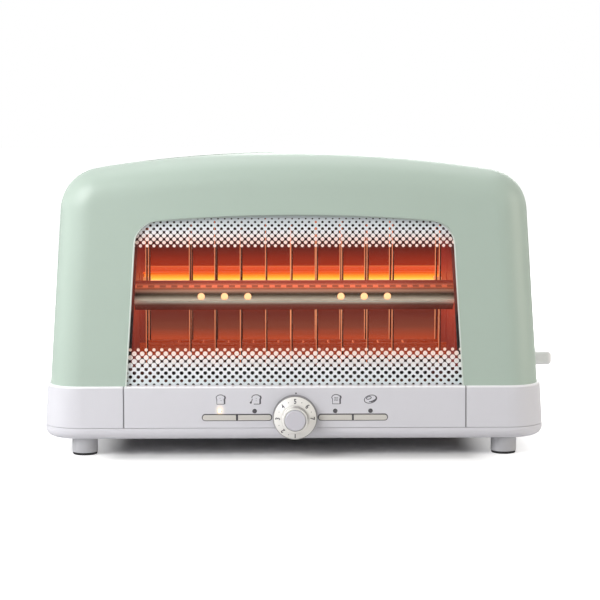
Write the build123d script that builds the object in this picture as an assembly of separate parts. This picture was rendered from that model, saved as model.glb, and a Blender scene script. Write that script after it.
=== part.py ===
from build123d import *
import math
import os

# A free-standing toaster with a glass front. It is drawn about the middle of its case, front towards -Y,
# and each piece is moved at the end so that the origin is the bottom centre of the whole.

# Case
base_width = 390.0
base_depth = 180.0
case_height = 233.0
foot_height = 13.0
pan_height = 8.85
base_height = 41.0
seam_gap = 0.3
draft_angle = 3.5
base_wall = 3.0
floor_wall = 2.5
ledge_wall = 3.0
ledge_reach = 20.0
pan_edge_radius = 6.5
lip_radius = 1.4
panel_half_width = 132.1
panel_reach = 30.0

# Shell
shell_wall = 1.2
shell_step = 2.3
arch_radius = 1030.0
shoulder_radius = 34.0
edge_radius = 26.0
hem_depth = 2.5

# Window
window_half_width = 129.8
window_head = 47.8
window_arch_radius = 1350.0
window_corner_radius = 16.0
glass_thickness = 4.0
glass_overlap = 4.0
glass_lift = 0.8
retainer_wall = 1.2
retainer_inset = 2.0
retainer_reach = 8.0

# Bread slot and cavity
slot_length = 244.0
slot_width = 38.0
slot_corner_radius = 6.0
slot_hem_depth = 4.0
liner_gap = 0.3
liner_wall = 0.8
sheet = 1.0
cavity_length = 250.0
cavity_gap_y = 17.73
roof_drop = 28.0
floor_sheet = 1.2
flange_width = 7.0
floor_margin_x = 12.0
floor_margin_y = 8.0
floor_front_gap = 0.8
floor_hole_margin = 0.5
floor_hole_back = 8.0
floor_hole_front = 2.0

# Heaters
heater_rise = 67.0
bar_front_gap = 4.0
bar_wall = 0.8
bar_half_height = 11.2
bar_depth = 20.0
bar_flat = 10.0
bar_bulge = 4.0
trough_top = 6.9
trough_bottom = -5.1
bar_hole_radius = 2.75
bar_hole_pitch = 18.15
bar_hole_rise = 0.4
tube_setback = 8.0
tube_radius = 4.5
tube_wall = 0.9
tube_clearance = 0.1
filament_radius = 2.0
holder_size = 14.0
holder_length = 6.0
socket_depth = 3.0

# Wire guards
wire_radius = 0.9
wire_pitch = 20.4
wires_each_side = 4
outer_wire_inset = 7.0
guard_half_gap = 17.0
guard_offset_x = -1.5
guard_foot_rise = 6.0
guard_top_gap = 6.0
rail_radius = 1.2
weld_gap = 0.05

# Carriage
lift_travel = 55.0
rack_top_rise = 25.0
rack_rod_radius = 1.2
rack_crossbar_radius = 1.0
rack_side_gap = 4.5
spine_thickness = 4.0
spine_bottom_rise = 12.0
spine_end = 6.0
arm_slot_gap = 1.2
rod_offset = 14.0
rod_radius = 2.5
rod_fit = 0.06
slider_length = 14.0
slider_bottom_rise = 6.0
slider_height = 18.0
slider_front = 20.0
slider_back = 16.0
spring_y = 12.3
spring_radius = 2.0
spring_wire_radius = 0.4
spring_turns = 24
notch_half_width = 3.2
arm_thickness = 3.0
arm_height = 6.0
arm_rise = 11.7
lever_slot_gap = 0.7
knob_reach = 15.0
knob_length = 17.0
knob_width = 26.0
knob_height = 10.8
knob_round = 3.4
armature_thickness = 1.8
magnet_size = 12.0
magnet_inset = 1.0
bracket_drop = 7.0
bracket_wall = 1.5
guide_wall = 3.0
guide_half_width = 9.0
guide_overrun = 6.0
lever_zone = 20.0
rest_gap = 0.3

# Controls
controls_rise = 8.15
led_rise = 5.0
button_length = 25.7
button_height = 4.1
button_gap = 1.5
button_start = 18.2
button_proud = 0.6
button_clearance = 0.3
button_flange = 0.3
button_flange_wall = 1.2
button_travel = 1.2
stem_radius = 1.4
stem_clearance = 0.3
board_setback = 14.0
board_half_width = 82.0
board_below = 6.0
board_above = 18.5
board_wall = 1.6
switch_size = 6.0
switch_depth = 3.6
switch_floor = 0.7
led_radius = 1.35
led_hole_radius = 1.75
boss_radius = 2.6
boss_inset_x = 4.5
boss_inset_z = 3.0
screw_radius = 1.2
screw_fit = 0.05
screw_head_radius = 2.3
screw_head_height = 1.5
screw_length = 6.0

# Dial, as radii and as distances out from the plane of its rim
dial_rise = 0.3
dial_rim_gap = 2.3
dial_radius = 16.8
dial_rim = 1.6
dial_bevel_radius = 15.9
dial_bevel = 3.4
dial_ring_radius = 11.2
dial_ring = 6.8
dial_collar_radius = 9.7
dial_collar = 15.2
dial_collar_round = 0.7
dial_shell = 1.9
dial_hollow = 2.2
dial_floor = 11.0
dial_shaft_radius = 6.0
dial_shaft_length = 11.5
dial_bore_radius = 3.2
dial_fit = 0.05
dial_hole_gap = 0.5
encoder_wall = 3.5
cancel_radius = 7.95
cancel_gap = 0.35
cancel_proud = 0.8
cancel_travel = 1.5
cancel_stem_radius = 2.8
cancel_round = 0.6

# Crumb tray, its runners, and what stands in the base
tray_half_width = 112.0
tray_front_gap = 20.0
tray_wall = 0.8
tray_height = 8.0
tray_hang = 11.7
tray_side_gap = 0.4
tray_grip_half_width = 40.0
tray_grip_reach = 3.2
tray_grip_height = 2.7
tray_fascia_height = 12.1
tray_fascia_reach = 5.8
runner_wall = 1.2
runner_lip = 6.0
gland_inset = 45.0
gland_rise = 18.5
gland_bore_radius = 3.6
gland_body_radius = 6.9
gland_flange_radius = 9.0
gland_flange = 2.5
gland_gap = 0.1
power_x = 60.0
power_length = 80.0
power_width = 80.0
post_height = 6.5
post_radius = 3.0
post_inset = 5.0
vent_length = 34.0
vent_width = 3.0
vent_pitch = 9.0
vent_count = 5
vent_x = 128.0
relay_length = 18.0
relay_width = 20.0
relay_height = 12.0
relay_gap = 6.0
relay_inset = 10.0
transformer_length = 22.0
transformer_width = 28.0
transformer_height = 15.0
transformer_offset = 7.0
capacitor_radius = 5.0
capacitor_height = 14.0
capacitor_inset = 12.0

# Feet and fasteners
foot_inset_x = 31.9
foot_inset_y = 15.0
foot_radius = 9.9
pad_height = 2.0
base_boss_radius = 4.0
base_screw_radius = 1.5
base_screw_head_radius = 3.2
base_screw_head = 1.3
side_screw_inset = 14.0
side_screw_y = 40.0
corner_screw_offset = 9.9
corner_screw_inset_y = 13.0
panel_screw_inset = 22.1
base_screw_length = 14.0
chassis_screw_inset = 20.5
chassis_screw_y = 50.0
chassis_screw_length = 3.6

# Heights and half sizes that follow from the sizes above
tan_draft = math.tan(math.radians(draft_angle))
sin_draft = math.sin(math.radians(draft_angle))
cos_draft = math.cos(math.radians(draft_angle))
seam_z = foot_height + pan_height
base_top = foot_height + base_height
base_floor = foot_height + floor_wall
shell_half_x = base_width / 2 - tan_draft * (base_top - seam_z) - shell_step
shell_half_y = base_depth / 2 - tan_draft * (base_top - seam_z) - shell_step
floor_top = base_top + floor_sheet
cavity_half_x = cavity_length / 2
cavity_half_y = shell_half_y - cavity_gap_y
cavity_roof_z = case_height - roof_drop
window_height = case_height - base_top - window_head
heater_z = base_top + heater_rise
heater_gap = cavity_half_y - bar_depth - bar_bulge - bar_front_gap
bar_hole_z = heater_z + bar_hole_rise
outer_wire_x = cavity_half_x - outer_wire_inset
guard_foot_z = base_top + guard_foot_rise
guard_top_z = cavity_roof_z - guard_top_gap
rack_top_z = base_top + rack_top_rise
rack_half_width = guard_half_gap - rack_side_gap
spine_bottom_z = base_top + spine_bottom_rise
rod_x = cavity_half_x + sheet + rod_offset
slider_bottom_z = base_top + slider_bottom_rise
arm_z = base_top + arm_rise
knob_out = base_width / 2 + knob_reach
bracket_z = cavity_roof_z - bracket_drop
controls_z = seam_z + controls_rise
led_z = controls_z + led_rise
dial_z = controls_z + dial_rise
board_bottom_z = controls_z - board_below
board_top_z = controls_z + board_above
boss_x = board_half_width - boss_inset_x
boss_low_z = board_bottom_z + boss_inset_z
boss_high_z = board_top_z - boss_inset_z
tray_front_y = -cavity_half_y + tray_front_gap
tray_bottom_z = base_top - tray_hang
gland_x = -base_width / 2 + gland_inset
gland_z = base_floor + gland_rise
foot_x = base_width / 2 - foot_inset_x
foot_y = base_depth / 2 - foot_inset_y
side_screw_x = base_width / 2 - side_screw_inset
corner_screw_x = panel_half_width + corner_screw_offset
corner_screw_y = base_depth / 2 - corner_screw_inset_y
panel_screw_x = panel_half_width - panel_screw_inset
chassis_screw_x = base_width / 2 - chassis_screw_inset
board_front_y = -base_depth / 2 + board_setback
socket_floor_y = board_front_y - switch_floor
dial_rim_y = -base_depth / 2 - dial_rim_gap

# The leaning front face of the shell, with its foot at the top of the base
front_face = Plane(
    origin=(0, -shell_half_y, base_top), x_dir=(1, 0, 0), z_dir=(0, -cos_draft, sin_draft)
)

parts = {}


def block(x_low, x_high, y_low, y_high, z_low, z_high):
    """A square-edged block between two corners."""
    centre = Pos((x_low + x_high) / 2, (y_low + y_high) / 2, (z_low + z_high) / 2)
    return centre * Box(x_high - x_low, y_high - y_low, z_high - z_low)


def upright(x, y, z_low, z_high, radius):
    """A round rod that stands along Z."""
    return Pos(x, y, (z_low + z_high) / 2) * Cylinder(radius, z_high - z_low)


def crosswise(y, z, x_low, x_high, radius):
    """A round rod that lies along X."""
    return Pos((x_low + x_high) / 2, y, z) * Rot(0, 90, 0) * Cylinder(radius, x_high - x_low)


def fore_and_aft(x, z, y_low, y_high, radius):
    """A round rod that lies along Y."""
    return Pos(x, (y_low + y_high) / 2, z) * Rot(90, 0, 0) * Cylinder(radius, y_high - y_low)


def joined(shapes):
    """All the shapes as one part; those that don't touch stay separate solids."""
    whole = Part()
    for shape in shapes:
        whole += shape
    return whole


def base_half(size, z):
    """Half of the base's width or depth at a height, on its drafted outside."""
    return size / 2 - tan_draft * (z - seam_z)


def base_form(inset, z_low, z_high):
    """The base's drafted block with round corners, its sides moved inwards by inset."""
    sections = []
    for z in (z_low, z_high):
        length = 2 * (base_half(base_width, z) - inset)
        width = 2 * (base_half(base_depth, z) - inset)
        radius = edge_radius + shell_step + tan_draft * (base_top - z) - inset
        sections.append(Pos(0, 0, z) * RectangleRounded(length, width, radius))
    return loft(sections, ruled=True)


def arched_outline(half_width, rise, radius, corner_radius, foot):
    """A flat outline with drafted sides and an arched top; half_width is measured at height 0."""
    centre = rise - radius
    reach = tan_draft * half_width + centre
    spread = (1 + tan_draft**2) * (half_width**2 + centre**2 - radius**2)
    corner_v = (reach + math.sqrt(reach**2 - spread)) / (1 + tan_draft**2)
    corner_u = half_width - tan_draft * corner_v
    foot_u = half_width - tan_draft * foot
    lines = [
        Line((-foot_u, foot), (foot_u, foot)),
        Line((foot_u, foot), (corner_u, corner_v)),
        ThreePointArc((corner_u, corner_v), (0, rise), (-corner_u, corner_v)),
        Line((-corner_u, corner_v), (-foot_u, foot)),
    ]
    face = make_face(lines)
    corners = face.vertices().filter_by(lambda v: v.Y > foot + 1)
    return fillet(corners, corner_radius)


def shell_form(inset, z_low=base_top):
    """The arched body of the case down to z_low, every face moved inwards by inset."""
    slack = inset / cos_draft
    half_y = shell_half_y - slack
    rise = case_height - base_top - inset
    foot = z_low - base_top
    outline = arched_outline(
        shell_half_x - slack, rise, arch_radius - inset, shoulder_radius - inset, foot
    )
    along_y = extrude(Plane.XZ * Pos(0, base_top) * outline, base_depth, both=True)
    low = half_y - tan_draft * foot
    high = half_y - tan_draft * (rise + 5)
    side = make_face(
        Polyline(
            (-low, z_low),
            (low, z_low),
            (high, base_top + rise + 5),
            (-high, base_top + rise + 5),
            close=True,
        )
    )
    body = along_y & extrude(Plane.YZ * side, base_width, both=True)
    ends = body.faces().filter_by(lambda f: abs(f.normal_at().Y) > 0.9)
    rims = ends.edges().filter_by(lambda e: e.center().Z > z_low + 0.5)
    return fillet(rims, edge_radius - inset)


def window_outline(grow, foot):
    """The window's outline on the front face, each side moved outwards by grow."""
    return arched_outline(
        window_half_width + grow,
        window_height + grow,
        window_arch_radius + grow,
        window_corner_radius + grow,
        foot,
    )


def front_slab(outline, depth_from, depth_to):
    """An outline on the front face, as a slab between two depths behind that face."""
    return extrude(front_face.offset(-depth_from) * outline, depth_from - depth_to)


def slot_outline(grow):
    """The bread slot's outline, seen from above."""
    return RectangleRounded(slot_length + 2 * grow, slot_width + 2 * grow, slot_corner_radius + grow)


def slot_prism(grow, z_low, z_high):
    """The bread slot's outline as an upright prism."""
    return extrude(Pos(0, 0, z_low) * slot_outline(grow), z_high - z_low)


def lever_slot(gap):
    """The upright gap that the lever's arm runs in, through the right side."""
    half = arm_thickness / 2 + gap
    z_low = arm_z - arm_height / 2 - gap
    z_high = arm_z + arm_height / 2 + lift_travel + gap
    return block(cavity_half_x + lever_zone, base_width, -half, half, z_low, z_high)


def outer_shell():
    """The painted steel shell, open below, with the window, the bread slot and the lever's slot."""
    outside = shell_form(0)
    shell = outside - shell_form(shell_wall, base_top - 2)
    shell -= front_slab(window_outline(0, -2), -4, edge_radius / 2)
    hem = front_slab(window_outline(shell_wall, -1) - window_outline(0, -3), 0, hem_depth)
    hem -= block(-base_width, base_width, -base_depth, 0, 0, base_top)
    shell += hem
    shell -= slot_prism(0, cavity_roof_z, case_height + 5)
    collar = slot_prism(shell_wall, cavity_roof_z, case_height + 5) - slot_prism(
        0, cavity_roof_z, case_height + 5
    )
    shell += collar & (outside - shell_form(slot_hem_depth))
    return shell - lever_slot(lever_slot_gap)


def glass_window():
    """The flat glass pane behind the window's hem."""
    return front_slab(window_outline(glass_overlap, glass_lift), hem_depth, hem_depth + glass_thickness)


def glass_retainer():
    """Three dark strips that hold the glass against the hem: left, right and top."""
    back = hem_depth + glass_thickness
    around = window_outline(retainer_reach, glass_lift)
    face = front_slab(around - window_outline(-retainer_inset, -2), back, back + retainer_wall)
    wall = front_slab(around - window_outline(retainer_reach - retainer_wall, -2), shell_wall, back)
    frame = face + wall
    cut_x = window_half_width - 2.5 * window_corner_radius
    cut_z = base_top + window_height / 2
    for side in (-1, 1):
        frame -= block(
            side * cut_x - rest_gap, side * cut_x + rest_gap, -base_depth, 0, cut_z, case_height
        )
    return frame


def slot_liner():
    """The steel chute from the bread slot down to the cavity's roof."""
    inner = shell_wall + liner_gap
    z_low = cavity_roof_z + sheet
    tube = slot_prism(inner + liner_wall, z_low, case_height) - slot_prism(inner, z_low, case_height)
    return tube & shell_form(shell_wall)


def cavity_roof():
    """The sheet across the top of the cavity, with the bread slot's opening."""
    plate = block(
        -cavity_half_x - sheet,
        cavity_half_x + sheet,
        -cavity_half_y,
        cavity_half_y,
        cavity_roof_z,
        cavity_roof_z + sheet,
    )
    return plate - slot_prism(shell_wall + liner_gap, cavity_roof_z - 1, cavity_roof_z + sheet + 1)


def end_plate(side):
    """One side wall of the cavity, with flanges outwards and the rack's upright slot."""
    inner = side * cavity_half_x
    outer = side * (cavity_half_x + sheet)
    tip = side * (cavity_half_x + sheet + flange_width)
    low, high = min(inner, outer), max(inner, outer)
    flange_low, flange_high = min(outer, tip), max(outer, tip)
    plate = block(low, high, -cavity_half_y, cavity_half_y, floor_top, cavity_roof_z)
    plate += block(
        flange_low, flange_high, -cavity_half_y, cavity_half_y, floor_top, floor_top + sheet
    )
    for y in (-cavity_half_y, cavity_half_y - sheet):
        plate += block(flange_low, flange_high, y, y + sheet, floor_top, cavity_roof_z)
    half = spine_thickness / 2 + arm_slot_gap
    z_low = spine_bottom_z - arm_slot_gap
    z_high = rack_top_z + lift_travel + arm_slot_gap
    return plate - block(low - 1, high + 1, -half, half, z_low, z_high)


def rear_wall():
    """The sheet across the back of the cavity."""
    return block(
        -cavity_half_x, cavity_half_x, cavity_half_y - sheet, cavity_half_y, floor_top, cavity_roof_z
    )


def chassis_floor():
    """The sheet that carries the cavity, open over the crumb tray."""
    half_x = shell_half_x - floor_margin_x
    half_y = shell_half_y - floor_margin_y
    plate = block(-half_x, half_x, -half_y + floor_front_gap, half_y, base_top, floor_top)
    plate -= block(
        -tray_half_width + floor_hole_margin,
        tray_half_width - floor_hole_margin,
        tray_front_y - floor_hole_front,
        cavity_half_y - floor_hole_back,
        base_top - 1,
        floor_top + 1,
    )
    for x in (-chassis_screw_x, chassis_screw_x):
        for y in (-chassis_screw_y, chassis_screw_y):
            plate -= upright(x, y, base_top - 1, floor_top + 1, base_screw_radius + screw_fit)
    return plate


def bar_outline():
    """The heater housing's section, open side at x = 0 and front towards -x."""
    lines = [
        Line((0, -bar_half_height), (0, bar_half_height)),
        Line((0, bar_half_height), (-bar_flat, bar_half_height)),
        Line((-bar_flat, bar_half_height), (-bar_depth, trough_top)),
        ThreePointArc(
            (-bar_depth, trough_top),
            (-bar_depth - bar_bulge, (trough_top + trough_bottom) / 2),
            (-bar_depth, trough_bottom),
        ),
        Line((-bar_depth, trough_bottom), (-bar_flat, -bar_half_height)),
        Line((-bar_flat, -bar_half_height), (0, -bar_half_height)),
    ]
    return make_face(lines)


def front_heater_housing():
    """The brushed steel trough across the window, open to the bread, with glow holes in its front."""
    outline = bar_outline()
    ring = outline - offset(outline, -bar_wall, kind=Kind.INTERSECTION)
    ring -= Rectangle(2 * bar_wall + 0.02, 2 * (bar_half_height - bar_wall))
    bar = extrude(Plane.YZ * Pos(-heater_gap, heater_z) * ring, cavity_half_x, both=True)
    front = -heater_gap - bar_depth - bar_bulge
    for step in (2, 3, 4):
        for x in (-step * bar_hole_pitch, step * bar_hole_pitch):
            bar -= fore_and_aft(x, bar_hole_z, front - 1, front + bar_depth / 2, bar_hole_radius)
    return bar


def heater_tube():
    """The quartz tube in the front housing."""
    half = cavity_half_x - holder_length + socket_depth
    y = -heater_gap - tube_setback
    outside = crosswise(y, heater_z, -half, half, tube_radius)
    return outside - crosswise(y, heater_z, -half - 1, half + 1, tube_radius - tube_wall)


def heater_filament():
    """The heating coil inside the front tube, as its outer shape."""
    half = cavity_half_x - holder_length + socket_depth
    return crosswise(-heater_gap - tube_setback, heater_z, -half, half, filament_radius)


def tube_holders():
    """The ceramic blocks on the end plates that hold the tubes' ends."""
    blocks = Part()
    for row in (-1, 1):
        y = row * (heater_gap + tube_setback)
        for side in (-1, 1):
            near = side * (cavity_half_x - holder_length)
            far = side * cavity_half_x
            socket = near + side * socket_depth
            half = holder_size / 2
            piece = block(
                min(near, far), max(near, far), y - half, y + half, heater_z - half, heater_z + half
            )
            mouth = near - side
            piece -= crosswise(
                y, heater_z, min(mouth, socket), max(mouth, socket), tube_radius + tube_clearance
            )
            blocks += piece
    return blocks


def front_wire_guard():
    """The front grille: upright wires in front of a rail at the bottom and one at the top."""
    places = [guard_offset_x + n * wire_pitch for n in range(-wires_each_side, wires_each_side + 1)]
    places += [-outer_wire_x, outer_wire_x]
    rail_y = -guard_half_gap - wire_radius - rail_radius - weld_gap
    rails = [
        crosswise(rail_y, z, -cavity_half_x, cavity_half_x, rail_radius)
        for z in (guard_foot_z + rail_radius, guard_top_z - rail_radius)
    ]
    wires = [upright(x, -guard_half_gap, guard_foot_z, guard_top_z, wire_radius) for x in places]
    return joined(rails + wires)


def base_ring():
    """The base's upper wall with its inward ledge, before it is parted into panel and surround."""
    z_low = seam_z + seam_gap
    ring = base_form(0, z_low, base_top)
    lip = ring.faces().sort_by(Axis.Z)[-1].edges()
    ring = fillet(lip, lip_radius)
    ring -= base_form(base_wall, z_low - 1, base_top - ledge_wall)
    half_x = base_half(base_width, base_top) - ledge_reach - base_wall
    half_y = base_half(base_depth, base_top) - ledge_reach
    ring -= block(-half_x, half_x, -half_y, half_y, base_top - ledge_wall - 1, base_top + 1)
    return ring


def panel_zone(half_width):
    """The space of the front panel, between its two upright seams."""
    return block(-half_width, half_width, -base_depth, -base_depth / 2 + panel_reach, 0, case_height)


def base_boss(x, y):
    """A screw boss from the ledge down to the pan's floor, with its pilot hole."""
    boss = upright(x, y, base_floor, base_top - ledge_wall, base_boss_radius)
    return boss - upright(
        x, y, base_floor - 1, base_floor + base_screw_length, base_screw_radius + screw_fit
    )


def surround_screw_places():
    """Where the pan is screwed to the surround."""
    sides = [(x, y) for x in (-side_screw_x, side_screw_x) for y in (-side_screw_y, side_screw_y)]
    corners = [
        (x, y) for x in (-corner_screw_x, corner_screw_x) for y in (-corner_screw_y, corner_screw_y)
    ]
    return sides + corners


def panel_screw_places():
    """Where the pan is screwed to the front panel."""
    return [(-panel_screw_x, -corner_screw_y), (panel_screw_x, -corner_screw_y)]


def base_surround():
    """The base's corners, sides and back in one piece, with the tray's mouth at the back."""
    ring = base_ring() - panel_zone(panel_half_width + seam_gap)
    half_x = tray_half_width + tray_fascia_reach + tray_side_gap
    top = tray_top() + tray_side_gap
    ring -= block(
        -half_x, half_x, base_depth / 4, base_depth, top - tray_fascia_height - 2 * tray_side_gap, top
    )
    for x, y in surround_screw_places():
        ring += base_boss(x, y)
    for x in (-chassis_screw_x, chassis_screw_x):
        for y in (-chassis_screw_y, chassis_screw_y):
            hole = upright(x, y, base_top - ledge_wall - 1, base_top + 1, base_screw_radius + screw_fit)
            ring -= hole
    gland_hole = fore_and_aft(
        gland_x, gland_z, base_depth / 4, base_depth, gland_body_radius + gland_gap
    )
    return ring - gland_hole


def button_centres():
    """Each mode button's place along X and the side that its round end is on."""
    inner = button_start + button_length / 2
    outer = inner + button_length + button_gap
    return [(-outer, -1), (-inner, 1), (inner, -1), (outer, 1)]


def button_bar(x, round_side, grow, y_front, y_back):
    """A slim bar with one round end, as long as a button and larger all round by grow."""
    half = button_length / 2 + grow
    radius = button_height / 2 + grow
    straight = Pos(-round_side * radius / 2, 0) * Rectangle(2 * half - radius, 2 * radius)
    outline = straight + Pos(round_side * (half - radius), 0) * Circle(radius)
    plane = Plane(origin=(x, y_back, controls_z), x_dir=(1, 0, 0), z_dir=(0, -1, 0))
    return extrude(plane * outline, y_back - y_front)


def base_front_panel():
    """The control panel, with the buttons' slots, the lamps' holes and the dial's hole."""
    panel = base_ring() & panel_zone(panel_half_width)
    front = -base_depth / 2 - 5
    back = -base_depth / 2 + 2 * base_wall
    for x, round_side in button_centres():
        panel -= button_bar(x, round_side, button_clearance, front, back)
        panel -= fore_and_aft(x, led_z, front, back, led_hole_radius)
    panel -= fore_and_aft(0, dial_z, front, back, dial_shaft_radius + dial_hole_gap)
    wall = -base_depth / 2 + base_wall
    for x in (-boss_x, boss_x):
        for z in (boss_low_z, boss_high_z):
            boss = fore_and_aft(x, z, wall - 0.5, board_front_y, boss_radius)
            boss -= fore_and_aft(
                x, z, board_front_y - screw_length, board_front_y, screw_radius + screw_fit
            )
            panel += boss
    for x, y in panel_screw_places():
        panel += base_boss(x, y)
    return panel


def base_pan():
    """The bottom pan: a low rim, the floor, its vents and the posts of the power board."""
    pan = base_form(0, foot_height, seam_z)
    pan = fillet(pan.faces().sort_by(Axis.Z)[0].edges(), pan_edge_radius)
    pan -= base_form(base_wall, base_floor, seam_z + 1)
    for x, y in power_post_places():
        post = upright(x, y, base_floor, base_floor + post_height, post_radius)
        post -= upright(x, y, base_floor, base_floor + post_height + 1, screw_radius + screw_fit)
        pan += post
    for x, y in surround_screw_places() + panel_screw_places():
        pan -= upright(x, y, 0, base_floor + 1, base_screw_radius + screw_fit)
        pan -= upright(x, y, 0, foot_height + base_screw_head, base_screw_head_radius + rest_gap)
    for side in (-1, 1):
        for n in range(vent_count):
            y = (n - (vent_count - 1) / 2) * vent_pitch
            slot = Pos(side * vent_x, y) * SlotOverall(vent_length, vent_width)
            pan -= extrude(slot, base_floor + 1)
    return pan


def feet():
    """The four round feet under the pan."""
    places = [(x, y) for x in (-foot_x, foot_x) for y in (-foot_y, foot_y)]
    return joined([upright(x, y, pad_height, foot_height, foot_radius) for x, y in places])


def foot_pads():
    """The rubber pads under the feet."""
    places = [(x, y) for x in (-foot_x, foot_x) for y in (-foot_y, foot_y)]
    pads = joined([upright(x, y, 0, pad_height, foot_radius - 0.4) for x, y in places])
    low = pads.edges().filter_by(lambda e: e.center().Z < 0.1)
    return chamfer(low, pad_height / 4)


def control_board():
    """The circuit board behind the front panel."""
    board = block(
        -board_half_width,
        board_half_width,
        board_front_y,
        board_front_y + board_wall,
        board_bottom_z,
        board_top_z,
    )
    for x in (-boss_x, boss_x):
        for z in (boss_low_z, boss_high_z):
            board -= fore_and_aft(
                x, z, board_front_y - 1, board_front_y + board_wall + 1, screw_radius + screw_fit
            )
    return board


def switch_body(x, z, size):
    """A push switch on the control board, with the socket that a button's stem moves in."""
    half = size / 2
    body = block(x - half, x + half, board_front_y - switch_depth, board_front_y, z - half, z + half)
    return body - fore_and_aft(
        x, z, board_front_y - switch_depth - 1, socket_floor_y, stem_radius + stem_clearance
    )


def mode_switches():
    """The four switches behind the mode buttons."""
    return joined([switch_body(x, controls_z, switch_size) for x, side in button_centres()])


def cancel_switch():
    """The switch behind the dial's centre button."""
    return switch_body(0, dial_z, switch_size)


def mode_button(x, round_side):
    """A mode button: its bar in the panel, the flange behind the panel and the stem."""
    wall_back = -base_half(base_depth, controls_z + button_height) + base_wall
    flange_front = wall_back + button_clearance
    back = flange_front + button_flange_wall
    bar = button_bar(x, round_side, 0, -base_depth, back)
    bar = bar & base_form(-button_proud, seam_z, base_top)
    face = bar.faces().sort_by(Axis.Y)[0]
    bar = fillet(face.edges(), button_proud / 2)
    bar += button_bar(x, round_side, button_clearance + button_flange, flange_front, back)
    tip = socket_floor_y - rest_gap - button_travel
    return bar + fore_and_aft(x, controls_z, back - 0.5, tip, stem_radius)


def led_lenses():
    """The four clear light guides between the panel's face and the lamps on the board."""
    rods = [
        fore_and_aft(x, led_z, -base_depth, board_front_y, led_radius) for x, side in button_centres()
    ]
    return joined(rods) & base_form(0, seam_z, base_top)


def turned(outline, rim_y):
    """A profile of radius and distance out of the panel, turned about the dial's axis."""
    plane = Plane(origin=(0, rim_y, dial_z), x_dir=(1, 0, 0), z_dir=(0, 0, -1))
    return revolve(plane * outline, axis=Axis((0, rim_y, dial_z), (0, -1, 0)))


def control_dial():
    """The browning dial: skirt, number ring, collar and hollow shaft."""
    mouth = cancel_radius + cancel_gap
    collar_top = dial_collar_radius - dial_collar_round
    points = [
        (dial_bore_radius, -dial_shaft_length),
        (dial_shaft_radius, -dial_shaft_length),
        (dial_shaft_radius, dial_hollow),
        (dial_radius - dial_shell, dial_hollow),
        (dial_radius - dial_shell, 0),
        (dial_radius - 0.3, 0),
        (dial_radius, 0.3),
        (dial_radius, dial_rim),
        (dial_bevel_radius, dial_bevel),
        (dial_ring_radius, dial_ring),
        (dial_collar_radius + 0.3, dial_ring),
        (dial_collar_radius, dial_ring + 0.3),
        (dial_collar_radius, dial_collar - dial_collar_round),
        (collar_top, dial_collar),
        (mouth, dial_collar),
        (mouth, dial_floor),
        (dial_bore_radius, dial_floor),
    ]
    return turned(make_face(Polyline(*points, close=True)), dial_rim_y)


def dial_encoder():
    """The encoder's ring on the board, which the dial's shaft turns in."""
    wall_back = -base_half(base_depth, dial_z + dial_radius) + base_wall
    inner = dial_shaft_radius + dial_fit
    outer = inner + encoder_wall
    body = fore_and_aft(0, dial_z, wall_back + rest_gap, board_front_y, outer)
    return body - fore_and_aft(0, dial_z, wall_back, board_front_y + 1, inner)


def cancel_button():
    """The centre button, with a stem through the dial's hollow shaft."""
    back = dial_floor + cancel_travel + rest_gap
    front = dial_collar + cancel_proud
    tip = dial_rim_y - socket_floor_y + rest_gap + cancel_travel
    neck = dial_rim_y - board_front_y + switch_depth + rest_gap + cancel_travel
    points = [
        (0, tip),
        (stem_radius, tip),
        (stem_radius, neck),
        (cancel_stem_radius, neck),
        (cancel_stem_radius, back),
        (cancel_radius, back),
        (cancel_radius, front - cancel_round),
        (cancel_radius - cancel_round, front),
        (0, front),
    ]
    return turned(make_face(Polyline(*points, close=True)), dial_rim_y)


def rack_crossbar_places():
    """Where the rack's cross rods lie, midway between the guards' wires."""
    count = wires_each_side + 1
    return [guard_offset_x + (n + 0.5) * wire_pitch for n in range(-count, count)]


def bread_rack():
    """The rack under the bread: an upright spine, cross rods and two long rods."""
    z = rack_top_z - rack_rod_radius
    left = -cavity_half_x - sheet - spine_end
    right = rod_x - slider_length / 2
    half = spine_thickness / 2
    rack = block(left, right, -half, half, spine_bottom_z, z)
    reach = cavity_half_x - holder_length
    for y in (-rack_half_width, rack_half_width):
        rack += crosswise(y, z, -reach, reach, rack_rod_radius)
    for x in rack_crossbar_places():
        rack += fore_and_aft(x, z, -rack_half_width, rack_half_width, rack_crossbar_radius)
    return rack


def carriage_slider():
    """The slider on the guide rod, with the notch that the return spring hangs in."""
    half = slider_length / 2
    top = slider_bottom_z + slider_height
    body = block(rod_x - half, rod_x + half, -slider_front, slider_back, slider_bottom_z, top)
    body -= upright(rod_x, 0, slider_bottom_z - 1, top + 1, rod_radius + rod_fit)
    notch_front = spring_y - notch_half_width
    body -= block(
        rod_x - notch_half_width,
        rod_x + notch_half_width,
        notch_front,
        slider_back + 1,
        slider_bottom_z - 1,
        top + 1,
    )
    return body


def lever_arm():
    """The steel strip from the slider out through the shell to the knob."""
    half = arm_thickness / 2
    inner = rod_x + slider_length / 2
    outer = knob_out - knob_length / 3
    return block(inner, outer, -half, half, arm_z - arm_height / 2, arm_z + arm_height / 2)


def lever_knob():
    """The finger knob on the lever's end."""
    low = arm_z - knob_height / 2
    knob = block(
        knob_out - knob_length, knob_out, -knob_width / 2, knob_width / 2, low, low + knob_height
    )
    knob = fillet(knob.edges(), knob_round)
    half = arm_thickness / 2 + screw_fit
    half_height = arm_height / 2 + screw_fit
    end = knob_out - knob_length / 3 + screw_fit
    return knob - block(0, end, -half, half, arm_z - half_height, arm_z + half_height)


def magnet_centre_y():
    """The latch magnet's place beside the guide rod."""
    return -slider_front + magnet_size / 2 + magnet_inset


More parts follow.
